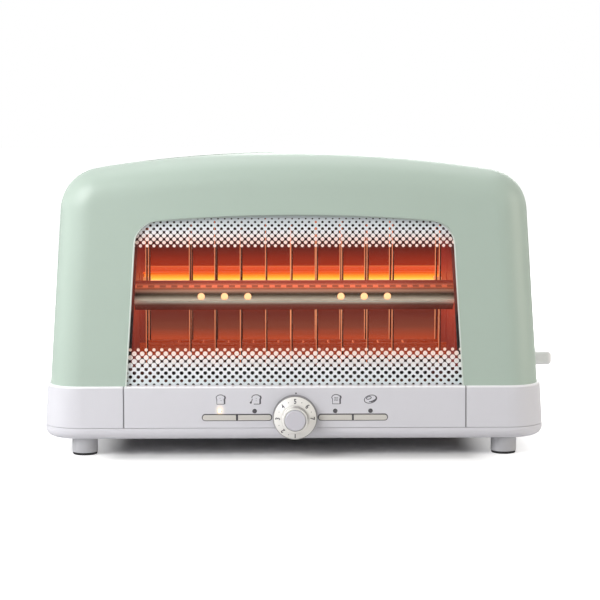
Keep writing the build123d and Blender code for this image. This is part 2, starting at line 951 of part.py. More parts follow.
def latch_armature():
    """The steel plate under the slider that the magnet holds."""
    half = magnet_size / 2
    y = magnet_centre_y()
    low = slider_bottom_z - armature_thickness
    return block(rod_x - half, rod_x + half, y - half, y + half, low, slider_bottom_z)


def latch_magnet():
    """The electromagnet that holds the carriage down while the bread browns."""
    half = magnet_size / 2
    y = magnet_centre_y()
    top = slider_bottom_z - armature_thickness - rest_gap
    return block(rod_x - half, rod_x + half, y - half, y + half, floor_top, top)


def guide_rod():
    """The upright rod that the slider runs on."""
    return upright(rod_x, 0, floor_top, bracket_z, rod_radius)


def carriage_bracket():
    """The bracket on the right end plate that holds the rod's top and the spring's hook."""
    wall = cavity_half_x + sheet
    top = bracket_z + bracket_wall
    plate = block(wall, rod_x + slider_length / 2, -slider_back / 2, slider_back, bracket_z, top)
    return plate + block(
        wall, wall + bracket_wall, -slider_back / 2, slider_back, bracket_z - 2 * bracket_wall, top
    )


def return_spring():
    """The long extension spring, with a cross pin below that pulls on the slider."""
    z_low = slider_bottom_z + 2
    z_high = bracket_z - 6
    pitch = (z_high - z_low) / spring_turns
    helix = Pos(rod_x, spring_y, z_low) * Helix(pitch, z_high - z_low, spring_radius)
    section = Plane(helix @ 0, z_dir=helix % 0) * Circle(spring_wire_radius)
    coil = sweep(section, path=helix)
    pin_z = slider_bottom_z - rest_gap - 2 * spring_wire_radius
    x = rod_x + spring_radius
    lower = upright(x, spring_y, pin_z, z_low + spring_wire_radius, spring_wire_radius)
    upper = upright(x, spring_y, z_high - spring_wire_radius, bracket_z, spring_wire_radius)
    pin = crosswise(
        spring_y, pin_z, rod_x - slider_length / 2, rod_x + slider_length / 2, 2 * spring_wire_radius
    )
    return coil + lower + upper + pin


def lever_guide():
    """The plastic track inside the right wall that the lever's arm runs in."""
    low = base_top + rest_gap
    high = arm_z + arm_height / 2 + lift_travel + guide_overrun
    half = guide_half_width
    zone = block(cavity_half_x + lever_zone, base_width, -half, half, low, high)
    track = zone & shell_form(shell_wall) - shell_form(shell_wall + guide_wall, base_top - 2)
    return track - lever_slot(lever_slot_gap / 2)


def tray_top():
    """The height of the crumb tray's rim."""
    return tray_bottom_z + tray_height


def crumb_tray():
    """The shallow tray under the cavity, which draws out at the back."""
    back = base_depth / 2 - base_wall - 1
    tray = block(-tray_half_width, tray_half_width, tray_front_y, back, tray_bottom_z, tray_top())
    tray -= block(
        -tray_half_width + tray_wall,
        tray_half_width - tray_wall,
        tray_front_y + tray_wall,
        back - tray_wall,
        tray_bottom_z + tray_wall,
        tray_top() + 1,
    )
    half_x = tray_half_width + tray_fascia_reach
    z_low = tray_top() - tray_fascia_height
    fascia = block(-half_x, half_x, back - tray_wall, base_depth, z_low, tray_top())
    fascia = fascia & base_form(0, seam_z, base_top)
    grip = block(
        -tray_grip_half_width,
        tray_grip_half_width,
        back,
        base_half(base_depth, z_low) + tray_grip_reach,
        z_low,
        z_low + tray_grip_height,
    )
    return tray + fascia + grip


def tray_runners():
    """The two angle strips that the tray slides on, hung from the chassis floor."""
    runners = Part()
    z_low = tray_bottom_z - rest_gap - runner_wall
    for side in (-1, 1):
        near = side * (tray_half_width + tray_side_gap)
        far = near + side * runner_wall
        lip = near - side * runner_lip
        y_high = base_half(base_depth, base_top) - ledge_reach - rest_gap
        strip = block(min(near, far), max(near, far), tray_front_y, y_high, z_low, base_top)
        strip += block(
            min(lip, far), max(lip, far), tray_front_y, y_high, z_low, z_low + runner_wall
        )
        runners += strip
    return runners


def power_post_places():
    """Where the power board's posts stand on the pan."""
    dx = power_length / 2 - post_inset
    dy = power_width / 2 - post_inset
    return [(power_x + a * dx, b * dy) for a in (-1, 1) for b in (-1, 1)]


def power_board():
    """The power board that feeds the heaters."""
    z = base_floor + post_height
    half_x = power_length / 2
    half_y = power_width / 2
    board = block(power_x - half_x, power_x + half_x, -half_y, half_y, z, z + board_wall)
    for x, y in power_post_places():
        board -= upright(x, y, z - 1, z + board_wall + 1, screw_radius + screw_fit)
    return board


def power_parts():
    """The relays, the transformer and the capacitor on the power board."""
    z = base_floor + post_height + board_wall
    relay_x = power_x - power_length / 2 + relay_inset
    near = relay_gap / 2
    far = near + relay_width
    core_x = power_x + transformer_offset
    half_x = transformer_length / 2
    half_y = transformer_width / 2
    can_x = power_x + power_length / 2 - capacitor_inset
    pieces = [
        block(relay_x, relay_x + relay_length, -far, -near, z, z + relay_height),
        block(relay_x, relay_x + relay_length, near, far, z, z + relay_height),
        block(core_x - half_x, core_x + half_x, -half_y, half_y, z, z + transformer_height),
        upright(can_x, 0, z, z + capacitor_height, capacitor_radius),
    ]
    return joined(pieces)


def cord_gland():
    """The bush in the back wall that the mains lead passes through."""
    outside = base_half(base_depth, gland_z - gland_flange_radius) + gland_gap
    inside = base_half(base_depth, gland_z + gland_flange_radius) - base_wall - gland_gap
    ends = (inside - gland_flange, outside + gland_flange)
    body = fore_and_aft(gland_x, gland_z, *ends, gland_body_radius)
    for y in (inside - gland_flange, outside):
        body += fore_and_aft(gland_x, gland_z, y, y + gland_flange, gland_flange_radius)
    return body - fore_and_aft(gland_x, gland_z, 0, base_depth, gland_bore_radius)


def base_screws():
    """The screws that hold the pan to the surround and to the front panel."""
    screws = []
    for x, y in surround_screw_places() + panel_screw_places():
        top = foot_height + base_screw_head
        head = upright(x, y, foot_height + 0.2, top, base_screw_head_radius)
        tip = base_floor + base_screw_length - 1
        shank = upright(x, y, foot_height + 0.5, tip, base_screw_radius)
        screws.append(head + shank)
    return joined(screws)


def board_screws():
    """The screws of the control board and of the power board."""
    screws = []
    back = board_front_y + board_wall
    for x in (-boss_x, boss_x):
        for z in (boss_low_z, boss_high_z):
            head = fore_and_aft(x, z, back, back + screw_head_height, screw_head_radius)
            shank = fore_and_aft(x, z, board_front_y - screw_length + 1, back + 0.5, screw_radius)
            screws.append(head + shank)
    z = base_floor + post_height + board_wall
    for x, y in power_post_places():
        head = upright(x, y, z, z + screw_head_height, screw_head_radius)
        shank = upright(x, y, base_floor + 1, z + 0.5, screw_radius)
        screws.append(head + shank)
    return joined(screws)


def chassis_screws():
    """The screws that hold the chassis floor to the base's ledge."""
    screws = []
    for x in (-chassis_screw_x, chassis_screw_x):
        for y in (-chassis_screw_y, chassis_screw_y):
            head = upright(x, y, floor_top, floor_top + base_screw_head, base_screw_head_radius)
            shank = upright(x, y, floor_top - chassis_screw_length, floor_top + 0.5, base_screw_radius)
            screws.append(head + shank)
    return joined(screws)


def at_the_back(shape):
    """A copy of a front piece on the other side of the bread."""
    return mirror(shape, about=Plane.XZ)


parts["outer_shell"] = outer_shell()
parts["glass_window"] = glass_window()
parts["glass_retainer"] = glass_retainer()
parts["slot_liner"] = slot_liner()
parts["cavity_roof"] = cavity_roof()
parts["end_plate_left"] = end_plate(-1)
parts["end_plate_right"] = end_plate(1)
parts["rear_wall"] = rear_wall()
parts["chassis_floor"] = chassis_floor()
parts["front_heater_housing"] = front_heater_housing()
parts["rear_heater_housing"] = at_the_back(parts["front_heater_housing"])
parts["front_heater_tube"] = heater_tube()
parts["rear_heater_tube"] = at_the_back(parts["front_heater_tube"])
parts["front_filament"] = heater_filament()
parts["rear_filament"] = at_the_back(parts["front_filament"])
parts["tube_holders"] = tube_holders()
parts["front_wire_guard"] = front_wire_guard()
parts["rear_wire_guard"] = at_the_back(parts["front_wire_guard"])
parts["base_surround"] = base_surround()
parts["base_front_panel"] = base_front_panel()
parts["base_pan"] = base_pan()
parts["feet"] = feet()
parts["foot_pads"] = foot_pads()
parts["control_board"] = control_board()
parts["mode_switches"] = mode_switches()
parts["cancel_switch"] = cancel_switch()
parts["dial_encoder"] = dial_encoder()
parts["led_lenses"] = led_lenses()
parts["control_dial"] = control_dial()
parts["cancel_button"] = cancel_button()
for number, (centre_x, rounded) in enumerate(button_centres(), start=1):
    parts[f"mode_button_{number}"] = mode_button(centre_x, rounded)
parts["bread_rack"] = bread_rack()
parts["carriage_slider"] = carriage_slider()
parts["latch_armature"] = latch_armature()
parts["lever_arm"] = lever_arm()
parts["lever_knob"] = lever_knob()
parts["latch_magnet"] = latch_magnet()
parts["guide_rod"] = guide_rod()
parts["carriage_bracket"] = carriage_bracket()
parts["return_spring"] = return_spring()
parts["lever_guide"] = lever_guide()
parts["crumb_tray"] = crumb_tray()
parts["tray_runners"] = tray_runners()
parts["power_board"] = power_board()
parts["power_parts"] = power_parts()
parts["cord_gland"] = cord_gland()
parts["base_screws"] = base_screws()
parts["board_screws"] = board_screws()
parts["chassis_screws"] = chassis_screws()

# The origin goes to the bottom centre of the box round everything
whole_box = Compound(children=[Part() + shape for shape in parts.values()]).bounding_box()
centre = whole_box.center()
to_origin = Pos(-centre.X, -centre.Y, -whole_box.min.Z)
print("moved by", round(-centre.X, 4), round(-centre.Y, 4), round(-whole_box.min.Z, 4))

os.makedirs("parts", exist_ok=True)
for name, shape in parts.items():
    export_step(to_origin * shape, f"parts/{name}.step")
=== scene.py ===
import math

import bpy
import numpy as np
from mathutils import Matrix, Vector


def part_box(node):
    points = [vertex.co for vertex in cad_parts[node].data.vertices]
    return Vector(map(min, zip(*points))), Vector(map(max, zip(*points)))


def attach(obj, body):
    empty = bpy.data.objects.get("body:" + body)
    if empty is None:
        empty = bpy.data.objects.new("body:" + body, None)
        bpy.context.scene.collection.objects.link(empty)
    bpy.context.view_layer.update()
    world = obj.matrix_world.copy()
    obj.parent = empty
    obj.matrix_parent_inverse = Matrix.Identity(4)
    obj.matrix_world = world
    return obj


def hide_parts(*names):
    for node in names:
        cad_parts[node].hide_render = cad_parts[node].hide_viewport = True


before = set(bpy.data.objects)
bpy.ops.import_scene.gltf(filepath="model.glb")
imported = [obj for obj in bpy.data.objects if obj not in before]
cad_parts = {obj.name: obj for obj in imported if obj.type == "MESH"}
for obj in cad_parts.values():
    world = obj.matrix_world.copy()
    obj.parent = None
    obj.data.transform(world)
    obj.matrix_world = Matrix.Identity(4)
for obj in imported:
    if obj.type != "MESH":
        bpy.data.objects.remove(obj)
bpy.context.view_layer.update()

# Boxes and what is worked out from them are in metres, and plain lengths in mm, seen from the
# front: x to the right and z up, from the middle of the case
MM = 0.001
pan_low, pan_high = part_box("base_pan")
MIDDLE_X = (pan_low.x + pan_high.x) / 2
MIDDLE_Y = (pan_low.y + pan_high.y) / 2

# The front of the case leans back by the draft of its walls
LEAN = math.radians(3.5)

# The window's opening in the shell, up the leaning face from its foot
glass_low, glass_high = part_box("glass_window")
GLASS_LAP = 4.0
GLASS_LIFT = 0.8
GLASS_THICKNESS = 4.0
WINDOW_HALF = (glass_high.x - glass_low.x) / 2 / MM - GLASS_LAP + math.tan(LEAN) * GLASS_LIFT
WINDOW_RISE = 131.2
WINDOW_ARCH = 1350.0
WINDOW_CORNER = 16.0

# The dial and its axis, with its heights over the panel
dial_low, dial_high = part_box("control_dial")
DIAL_X = (dial_low.x + dial_high.x) / 2
DIAL_Z = (dial_low.z + dial_high.z) / 2
DIAL_EDGE_RADIUS = 16.8
DIAL_BEVEL_RADIUS = 15.9
DIAL_RING_RADIUS = 11.2
DIAL_BEVEL = 11.8
DIAL_RING = 8.4

# The two heating tubes, the same way in front of and behind the middle
tube_low, tube_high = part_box("rear_heater_tube")
TUBE_Y = (tube_low.y + tube_high.y) / 2
TUBE_Z = (tube_low.z + tube_high.z) / 2

# The control panel's face leans back from the seam over the pan; its holes end below its crown
panel_low, panel_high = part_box("base_front_panel")
PANEL_FOOT = 22.15
PANEL_CROWN = 45.2

# The mode buttons stand in two pairs, as far left as right of the middle, with lamps over them
lens_low, lens_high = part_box("led_lenses")
button_low, button_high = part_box("mode_button_1")
PAIR_X = 44.65
PAIR_STRAIGHT = 24.4
BUTTON_HALF = 2.05
# Painted shade round each pair of buttons: its lift over their middle, its width and softness, and
# the half width of the painted shade in the slit between them
GAP_SHADE_LIFT = 0.2
GAP_SHADE_WIDTH = 0.55
GAP_SHADE_SOFT = 0.25
SLIT_HALF = 0.7
# How far behind the panel's face its holes are painted in shade
PANEL_SKIN = 0.12
# How far in from the panel's ends the painted shade of its seams lies
SEAM_SHADE_WIDTH = 0.5

# Colours are red, green and blue from 0 to 255
BASE_COLOUR = (224, 223, 229)
# A painted highlight on the base's rounded top lip
LIP_HIGHLIGHT_COLOUR = (250, 249, 253)
# The painted shade in the gaps, holes and seams of the controls
GAP_SHADE_COLOUR = (44, 42, 46)

# The painted light of the dashes along the front trough's upper flange, and the places out from
# the middle where that painted light starts to dim and has dimmed
DASH_PITCH = 9.0
DASH_LOW = 128.0
DASH_HIGH = 129.9
DASH_DARK = 0.6
BRIGHT_HALF = 68.0
DIM_HALF = 98.0
DIM_LIGHT = 0.74


def srgb(red, green, blue):
    """A colour read as 0 to 255, as the linear colour that a shader takes."""
    share = np.array([red, green, blue]) / 255
    linear = np.where(share <= 0.04045, share / 12.92, ((share + 0.055) / 1.055) ** 2.4)
    return (*linear.tolist(), 1.0)


# Nodes


def put(tree, socket, value):
    """Gives an input its value: another socket is linked to it, and the rest is set on it."""
    if isinstance(value, bpy.types.NodeSocket):
        tree.links.new(value, socket)
    elif value is not None:
        socket.default_value = value


def add(tree, kind, inputs=(), **settings):
    """A node of a tree, with its settings, and its inputs by number or name."""
    made = tree.nodes.new(kind)
    for name, value in settings.items():
        setattr(made, name, value)
    for socket, value in dict(inputs).items():
        put(tree, made.inputs[socket], value)
    return made


def math_node(tree, operation, first, *others):
    """Sockets or numbers taken together one after another, or the result of a single one."""
    for other in others or (None,):
        first = add(tree, "ShaderNodeMath", {0: first, 1: other}, operation=operation).outputs[0]
    return first


def times(tree, *values):
    """The product of sockets and numbers."""
    return math_node(tree, "MULTIPLY", *values)


def plus(tree, *values):
    """The sum of sockets and numbers."""
    return math_node(tree, "ADD", *values)


def minus(tree, first, second):
    """A socket or number less another."""
    return math_node(tree, "SUBTRACT", first, second)


def larger(tree, *values):
    """The largest of sockets and numbers."""
    return math_node(tree, "MAXIMUM", *values)


def distance(tree, first, second):
    """The root of the sum of two lengths' squares."""
    squares = [times(tree, value, value) for value in (first, second)]
    return math_node(tree, "SQRT", plus(tree, *squares))


def fading(tree, value):
    """The number e to the power of minus a value: 1 at nothing, and less from there on."""
    return math_node(tree, "EXPONENT", times(tree, value, -1.0))


def vector_node(tree, operation, first, second=None):
    """The result of a Vector Math node on sockets or vectors; a length comes out as a number."""
    made = add(tree, "ShaderNodeVectorMath", {0: first, 1: second}, operation=operation)
    return made.outputs["Value" if operation == "LENGTH" else "Vector"]


def scaled(tree, vector, factor):
    """A vector or colour socket times a number."""
    made = add(tree, "ShaderNodeVectorMath", {0: vector, "Scale": factor}, operation="SCALE")
    return made.outputs["Vector"]


def here(tree):
    """A surface point's own place in metres."""
    return add(tree, "ShaderNodeTexCoord").outputs["Object"]


def axis(tree, letter, vector=None):
    """The X, Y or Z of a vector socket, or of a surface point's own place."""
    return add(tree, "ShaderNodeSeparateXYZ", {0: vector or here(tree)}).outputs[letter]


def aside(tree, letter="X", middle=MIDDLE_X):
    """How far a surface point lies to either side of the case's middle, in metres."""
    return math_node(tree, "ABSOLUTE", minus(tree, axis(tree, letter), middle))


def ranged(tree, value, low, high, start=0.0, end=1.0, **settings):
    """A number that goes from start to end while a value goes from low to high."""
    inputs = {"Value": value, "From Min": low, "From Max": high, "To Min": start, "To Max": end}
    return add(tree, "ShaderNodeMapRange", inputs, **settings).outputs[0]


def rise(tree, value, low, high):
    """A mask that rises from 0 to 1 while a length goes from low to high, both in mm."""
    return ranged(tree, value, low * MM, high * MM)


def between(tree, value, low, high, soft):
    """A mask that is 1 while a length is between low and high, in mm, with soft ends."""
    return times(tree, rise(tree, value, low, low + soft), rise(tree, value, high, high - soft))


def noise(tree, place, scale, detail, roughness=0.5):
    """Soft noise at a place, from 0 to 1."""
    inputs = {"Vector": place, "Scale": scale, "Detail": detail, "Roughness": roughness}
    return add(tree, "ShaderNodeTexNoise", inputs).outputs["Fac"]


def colour_ramp(tree, mask, stops):
    """A ramp's colour over a mask; each stop is (place from 0 to 1, red, green, blue)."""
    ramp = add(tree, "ShaderNodeValToRGB", {"Fac": mask})
    band = ramp.color_ramp
    while len(band.elements) < len(stops):
        band.elements.new(0.5)
    for element, (place, *colour) in zip(band.elements, stops):
        element.position = place
        element.color = srgb(*colour)
    return ramp.outputs["Color"]


def height_ramp(tree, stops):
    """Colours given by height: each stop is (height in mm, red, green, blue), the lowest first."""
    low, high = stops[0][0], stops[-1][0]
    mask = rise(tree, axis(tree, "Z"), low, high)
    return colour_ramp(tree, mask, [((z - low) / (high - low), *colour) for z, *colour in stops])


# Node groups


def group_start(name, inputs, outputs):
    """An empty shader group and its inner sockets. Inputs and outputs are names with a value, and a
    plain number makes a number socket where the rest makes a colour socket."""
    tree = bpy.data.node_groups.new(name, "ShaderNodeTree")
    for side, sockets in (("INPUT", inputs), ("OUTPUT", outputs)):
        for label, value in sockets.items():
            kind = "NodeSocketFloat" if isinstance(value, float) else "NodeSocketColor"
            tree.interface.new_socket(label, in_out=side, socket_type=kind).default_value = value
    return tree, add(tree, "NodeGroupInput").outputs, add(tree, "NodeGroupOutput").inputs


def mottle_group():
    """Cloudy change of a colour: the colour times 1 plus or minus Amount, by soft noise."""
    grey = (0.5, 0.5, 0.5, 1.0)
    tree, given, result = group_start(
        "mottle", {"Color": grey, "Scale": 30.0, "Amount": 0.03}, {"Color": grey, "Mask": 0.5}
    )
    cloud = noise(tree, here(tree), given["Scale"], 4.0, 0.55)
    change = times(tree, minus(tree, cloud, 0.5), 2.0, given["Amount"])
    put(tree, result["Color"], scaled(tree, given["Color"], plus(tree, change, 1.0)))
    put(tree, result["Mask"], cloud)
    return tree


def grain_group():
    """The fine height of moulded plastic or sprayed paint: small noise over larger noise."""
    tree, given, result = group_start("grain", {"Scale": 900.0, "Coarse": 0.3}, {"Height": 0.0})
    place = here(tree)
    fine = noise(tree, place, given["Scale"], 2.0, 0.6)
    wide = noise(tree, place, times(tree, given["Scale"], 0.12), 1.0)
    put(tree, result["Height"], plus(tree, fine, times(tree, wide, given["Coarse"])))
    return tree


def brushed_group():
    """Lines drawn along X: noise squeezed across Y and Z, as a height and a mask."""
    tree, given, result = group_start(
        "brushed lines", {"Scale": 4.0, "Squeeze": 400.0}, {"Height": 0.0, "Mask": 0.5}
    )
    sizes = {0: 1.0, 1: given["Squeeze"], 2: given["Squeeze"]}
    squeeze = add(tree, "ShaderNodeCombineXYZ", sizes).outputs[0]
    squeezed = vector_node(tree, "MULTIPLY", here(tree), squeeze)
    lines = noise(tree, squeezed, given["Scale"], 5.0, 0.7)
    put(tree, result["Height"], lines)
    put(tree, result["Mask"], lines)
    return tree


def heater_light_group():
    """How strongly the heaters' light is painted on a point as a glow: 1 at a heating tube, falling
    by e each Reach away from it.
    """
    tree, given, result = group_start("painted heater glow", {"Reach": 0.02}, {"Glow": 0.0})
    across = minus(tree, aside(tree, "Y", MIDDLE_Y), TUBE_Y - MIDDLE_Y)
    above = minus(tree, axis(tree, "Z"), TUBE_Z)
    steps = math_node(tree, "DIVIDE", distance(tree, across, above), given["Reach"])
    put(tree, result["Glow"], fading(tree, steps))
    return tree


MOTTLE = mottle_group()
GRAIN = grain_group()
BRUSHED = brushed_group()
HEATER_LIGHT = heater_light_group()


# Materials


def grouped(tree, group, **values):
    """A group placed in a material, with its own values."""
    return add(tree, "ShaderNodeGroup", values, node_tree=group)


def inner(material):
    """A material's node tree and its Principled shader."""
    return material.node_tree, material.node_tree.nodes["Principled BSDF"]


def finish(name, **values):
    """A new material with one Principled shader, whose plain sockets take the values given."""
    material = bpy.data.materials.new(name)
    material.use_nodes = True
    tree, shader = inner(material)
    for socket, value in values.items():
        shader.inputs[socket.replace("_", " ")].default_value = value
    return material, tree, shader


def bump(tree, shader, height, depth, strength):
    """Raises a shader's surface by a height socket; the depth is in mm."""
    inputs = {"Strength": strength, "Distance": depth * MM, "Height": height}
    put(tree, shader.inputs["Normal"], add(tree, "ShaderNodeBump", inputs).outputs[0])


def cloudy(tree, shader, colour, scale, amount):
    """Gives a shader a base colour, plain or by a socket, with cloudy change, and returns the
    cloud's mask."""
    if not isinstance(colour, bpy.types.NodeSocket):
        colour = srgb(*colour)
    made = grouped(tree, MOTTLE, Color=colour, Scale=scale, Amount=amount)
    put(tree, shader.inputs["Base Color"], made.outputs["Color"])
    return made.outputs["Mask"]


def spread(tree, shader, mask, low, high):
    """Lets a mask move a shader's roughness between two values."""
    put(tree, shader.inputs["Roughness"], ranged(tree, mask, 0.0, 1.0, low, high))


def shining(tree, shader, colour, strength=1.0):
    """Makes a surface shine with a colour socket."""
    put(tree, shader.inputs["Emission Color"], colour)
    shader.inputs["Emission Strength"].default_value = strength


def glowing(tree, shader, mask, stops, strength=1.0):
    """Makes a surface shine with the colours of a ramp over a mask."""
    shining(tree, shader, colour_ramp(tree, mask, stops), strength)


def repainted(tree, shader, mask, colour):
    """Turns a shader's base colour into another one where a mask is 1."""
    base = shader.inputs["Base Color"]
    inputs = {0: mask, "A": base.links[0].from_socket, "B": srgb(*colour)}
    put(tree, base, add(tree, "ShaderNodeMix", inputs, data_type="RGBA").outputs["Result"])


def surfaced(tree, socket):
    """Makes a shader socket the material's surface."""
    put(tree, tree.nodes["Material Output"].inputs["Surface"], socket)


def mint_paint():
    """Satin paint on the steel shell, with a faint orange peel."""
    material, tree, shader = finish("mint_paint", Coat_Weight=0.12, Coat_Roughness=0.25)
    mask = cloudy(tree, shader, (182, 199, 187), 14.0, 0.012)
    spread(tree, shader, mask, 0.36, 0.44)
    grain = grouped(tree, GRAIN, Scale=520.0, Coarse=0.6)
    bump(tree, shader, grain.outputs["Height"], 0.02, 0.35)
    return material


def moulded(name, colour, roughness, scale=1400.0, depth=0.02, amount=0.012):
    """Moulded plastic with a fine spark-eroded grain; a list of height stops may stand for its
    colour."""
    material, tree, shader = finish(name)
    if isinstance(colour, list):
        colour = height_ramp(tree, colour)
    mask = cloudy(tree, shader, colour, 22.0, amount)
    spread(tree, shader, mask, roughness - 0.04, roughness + 0.04)
    grain = grouped(tree, GRAIN, Scale=scale, Coarse=0.3)
    bump(tree, shader, grain.outputs["Height"], depth, 0.5)
    return material


def painted_lip_highlight(tree, shader):
    """A painted highlight along the base's rounded top edge: paler where it turns up to the light.
    """
    top = panel_high.z / MM
    repainted(tree, shader, rise(tree, axis(tree, "Z"), top - 1.7, top - 0.9), LIP_HIGHLIGHT_COLOUR)


def lilac_plastic():
    """The base's pale plastic, without its control panel, with a painted highlight on its top lip.
    """
    material = moulded("lilac_plastic", BASE_COLOUR, 0.42)
    painted_lip_highlight(*inner(material))
    return material


def button_gap_shade(tree):
    """The painted shadow line round each pair of buttons: the space outside a flat-sided shape with
    round ends, thicker above than below, and painted shade in the slit between the two buttons."""
    along = math_node(tree, "ABSOLUTE", minus(tree, aside(tree), PAIR_X * MM))
    middle = (button_low.z + button_high.z) / 2 + GAP_SHADE_LIFT * MM
    up = minus(tree, axis(tree, "Z"), middle)
    past = larger(tree, minus(tree, along, PAIR_STRAIGHT * MM), 0.0)
    edge = BUTTON_HALF + GAP_SHADE_WIDTH
    ring = rise(tree, distance(tree, past, up), edge + GAP_SHADE_SOFT, edge)
    level = rise(tree, math_node(tree, "ABSOLUTE", up), BUTTON_HALF + 0.2, BUTTON_HALF)
    slit = times(tree, rise(tree, along, SLIT_HALF + 0.2, SLIT_HALF), level)
    return times(tree, larger(tree, ring, slit), 0.9)


def from_dial(tree):
    """A surface point's distance in metres from the dial's axis."""
    across = minus(tree, axis(tree, "X"), DIAL_X)
    return distance(tree, across, minus(tree, axis(tree, "Z"), DIAL_Z))


def panel_edge_shade(tree):
    """Painted shade along the panel's two ends, where its seams are, and the dial's painted shadow
    round its rim.
    """
    end = (panel_high.x - panel_low.x) / 2 / MM
    seam = rise(tree, aside(tree), end - SEAM_SHADE_WIDTH - 0.35, end - SEAM_SHADE_WIDTH)
    dial_shadow = rise(tree, from_dial(tree), DIAL_EDGE_RADIUS + 0.7, DIAL_EDGE_RADIUS + 0.3)
    return larger(tree, times(tree, seam, 0.75), times(tree, dial_shadow, 0.5))


def painted_lamp_glow(tree):
    """The first lamp's light painted on the panel as a glow: a mask that falls off all round a spot
    a little to the upper right of the lamp, sideways sooner than up and down."""
    reach, fall = 3.7, 2.6
    radius = (lens_high.z - lens_low.z) / 2
    spot = (lens_low.x + radius + 0.5 * MM, lens_low.y, lens_low.z + radius + 0.7 * MM)
    away = vector_node(tree, "SUBTRACT", here(tree), spot)
    away = vector_node(tree, "MULTIPLY", away, (1.35, 0.5, 1.0))
    share = math_node(tree, "DIVIDE", vector_node(tree, "LENGTH", away), reach * MM)
    return fading(tree, math_node(tree, "POWER", share, fall))


def panel_plastic():
    """The control panel's plastic, with painted shade in its holes, round its buttons, along its
    seams and round the dial, and a painted glow round the first mode's lamp, which is on."""
    material = moulded("panel_plastic", BASE_COLOUR, 0.42)
    tree, shader = inner(material)
    painted_lip_highlight(tree, shader)
    height = axis(tree, "Z")
    leant = times(tree, minus(tree, height, PANEL_FOOT * MM), math.tan(LEAN))
    face = plus(tree, leant, panel_low.y)
    # Painted shade down in the panel's holes, behind its face
    depth = rise(tree, minus(tree, axis(tree, "Y"), face), PANEL_SKIN, PANEL_SKIN + 0.18)
    holes = times(tree, depth, between(tree, height, PANEL_FOOT + 1, PANEL_CROWN, 0.2))
    shade = larger(tree, holes, button_gap_shade(tree), panel_edge_shade(tree))
    repainted(tree, shader, shade, GAP_SHADE_COLOUR)
    glowing(tree, shader, painted_lamp_glow(tree), [(0.0, 0, 0, 0), (1.0, 255, 222, 160)], 0.5)
    return material


def mode_button_plastic():
    """A mode button's pearly plastic, with painted shade down its sides in its gap."""
    material = moulded("button_plastic", (217, 213, 207), 0.3, 1400.0, 0.008)
    tree, shader = inner(material)
    front = button_low.y / MM
    # Painted shade down the button's sides, in its gap
    sides = rise(tree, axis(tree, "Y"), front + 0.7, front + 0.9)
    repainted(tree, shader, sides, GAP_SHADE_COLOUR)
    return material


def dial_plastic():
    """The dial's cream plastic, with painted shade down its skirt, round its rim, and in a crescent
    at the upper right of the gap round the push button."""
    material = moulded("control_dial_plastic", (243, 241, 237), 0.24, 1400.0, 0.006)
    tree, shader = inner(material)
    front = dial_low.y / MM
    skirt_start, skirt_end = front + 13.6, front + 17.5
    rim_start, rim_end = 16.2, 16.6
    collar_start, collar_end = 9.2, 10.2
    # Painted shade on the skirt, round the rim and in a crescent by the collar
    skirt = rise(tree, axis(tree, "Y"), skirt_start, skirt_end)
    radius = from_dial(tree)
    rim = times(tree, rise(tree, radius, rim_start, rim_end), 0.75)
    diagonal = plus(tree, axis(tree, "X"), axis(tree, "Z"))
    centre = (DIAL_X + DIAL_Z) / MM
    upper = rise(tree, diagonal, centre + 5.0, centre + 10.5)
    collar = between(tree, radius, collar_start, collar_end, 0.2)
    crescent = times(tree, collar, upper, 0.6)
    repainted(tree, shader, larger(tree, skirt, rim, crescent), GAP_SHADE_COLOUR)
    return material


def window_glass():
    """Clear glass that lets lamplight straight through."""
    material, tree, shader = finish(
        "window_glass",
        Base_Color=(0.985, 0.995, 0.99, 1),
        Roughness=0.0,
        IOR=1.45,
        Transmission_Weight=1.0,
        Specular_Tint=(0.08, 0.08, 0.08, 1),
    )
    path = add(tree, "ShaderNodeLightPath").outputs
    soft = larger(tree, path["Is Shadow Ray"], path["Is Diffuse Ray"])
    clear = add(tree, "ShaderNodeBsdfTransparent").outputs[0]
    mixed = add(tree, "ShaderNodeMixShader", {0: soft, 1: shader.outputs[0], 2: clear})
    surfaced(tree, mixed.outputs[0])
    return material


def quartz():
    """The milky quartz of a heating tube, lit through by its coil, and with the coil's light also
    painted on as a glow.
    """
    material, tree, shader = finish(
        "quartz_tube", Roughness=0.15, IOR=1.46, Transmission_Weight=0.7
    )
    cloudy(tree, shader, (255, 226, 180), 60.0, 0.05)
    heat = grouped(tree, HEATER_LIGHT, Reach=0.03).outputs["Glow"]
    glowing(tree, shader, heat, [(0.0, 255, 120, 40), (1.0, 255, 216, 184)], 0.46)
    return material


def glowing_coil():
    """The coil's bright orange heat, uneven along its turns."""
    material, tree, shader = finish("glowing_coil", Roughness=0.6)
    mask = cloudy(tree, shader, (120, 60, 30), 90.0, 0.2)
    glowing(tree, shader, mask, [(0.3, 255, 190, 138), (0.7, 255, 216, 180)], 0.98)
    return material


def dark_steel():
    """Matt dark paint on the strips that hold the glass, with the glow beside them painted on as
    light by height.
    """
    material = moulded("dark_steel", (22, 18, 18), 0.6, 900.0, 0.03, 0.1)
    tree, shader = inner(material)
    stops = [
        (58, 16, 9, 8),
        (106, 26, 15, 13),
        (118, 96, 37, 27),
        (150, 108, 39, 28),
        (166, 48, 18, 15),
        (190, 8, 4, 4),
    ]
    shining(tree, shader, height_ramp(tree, stops))
    return material


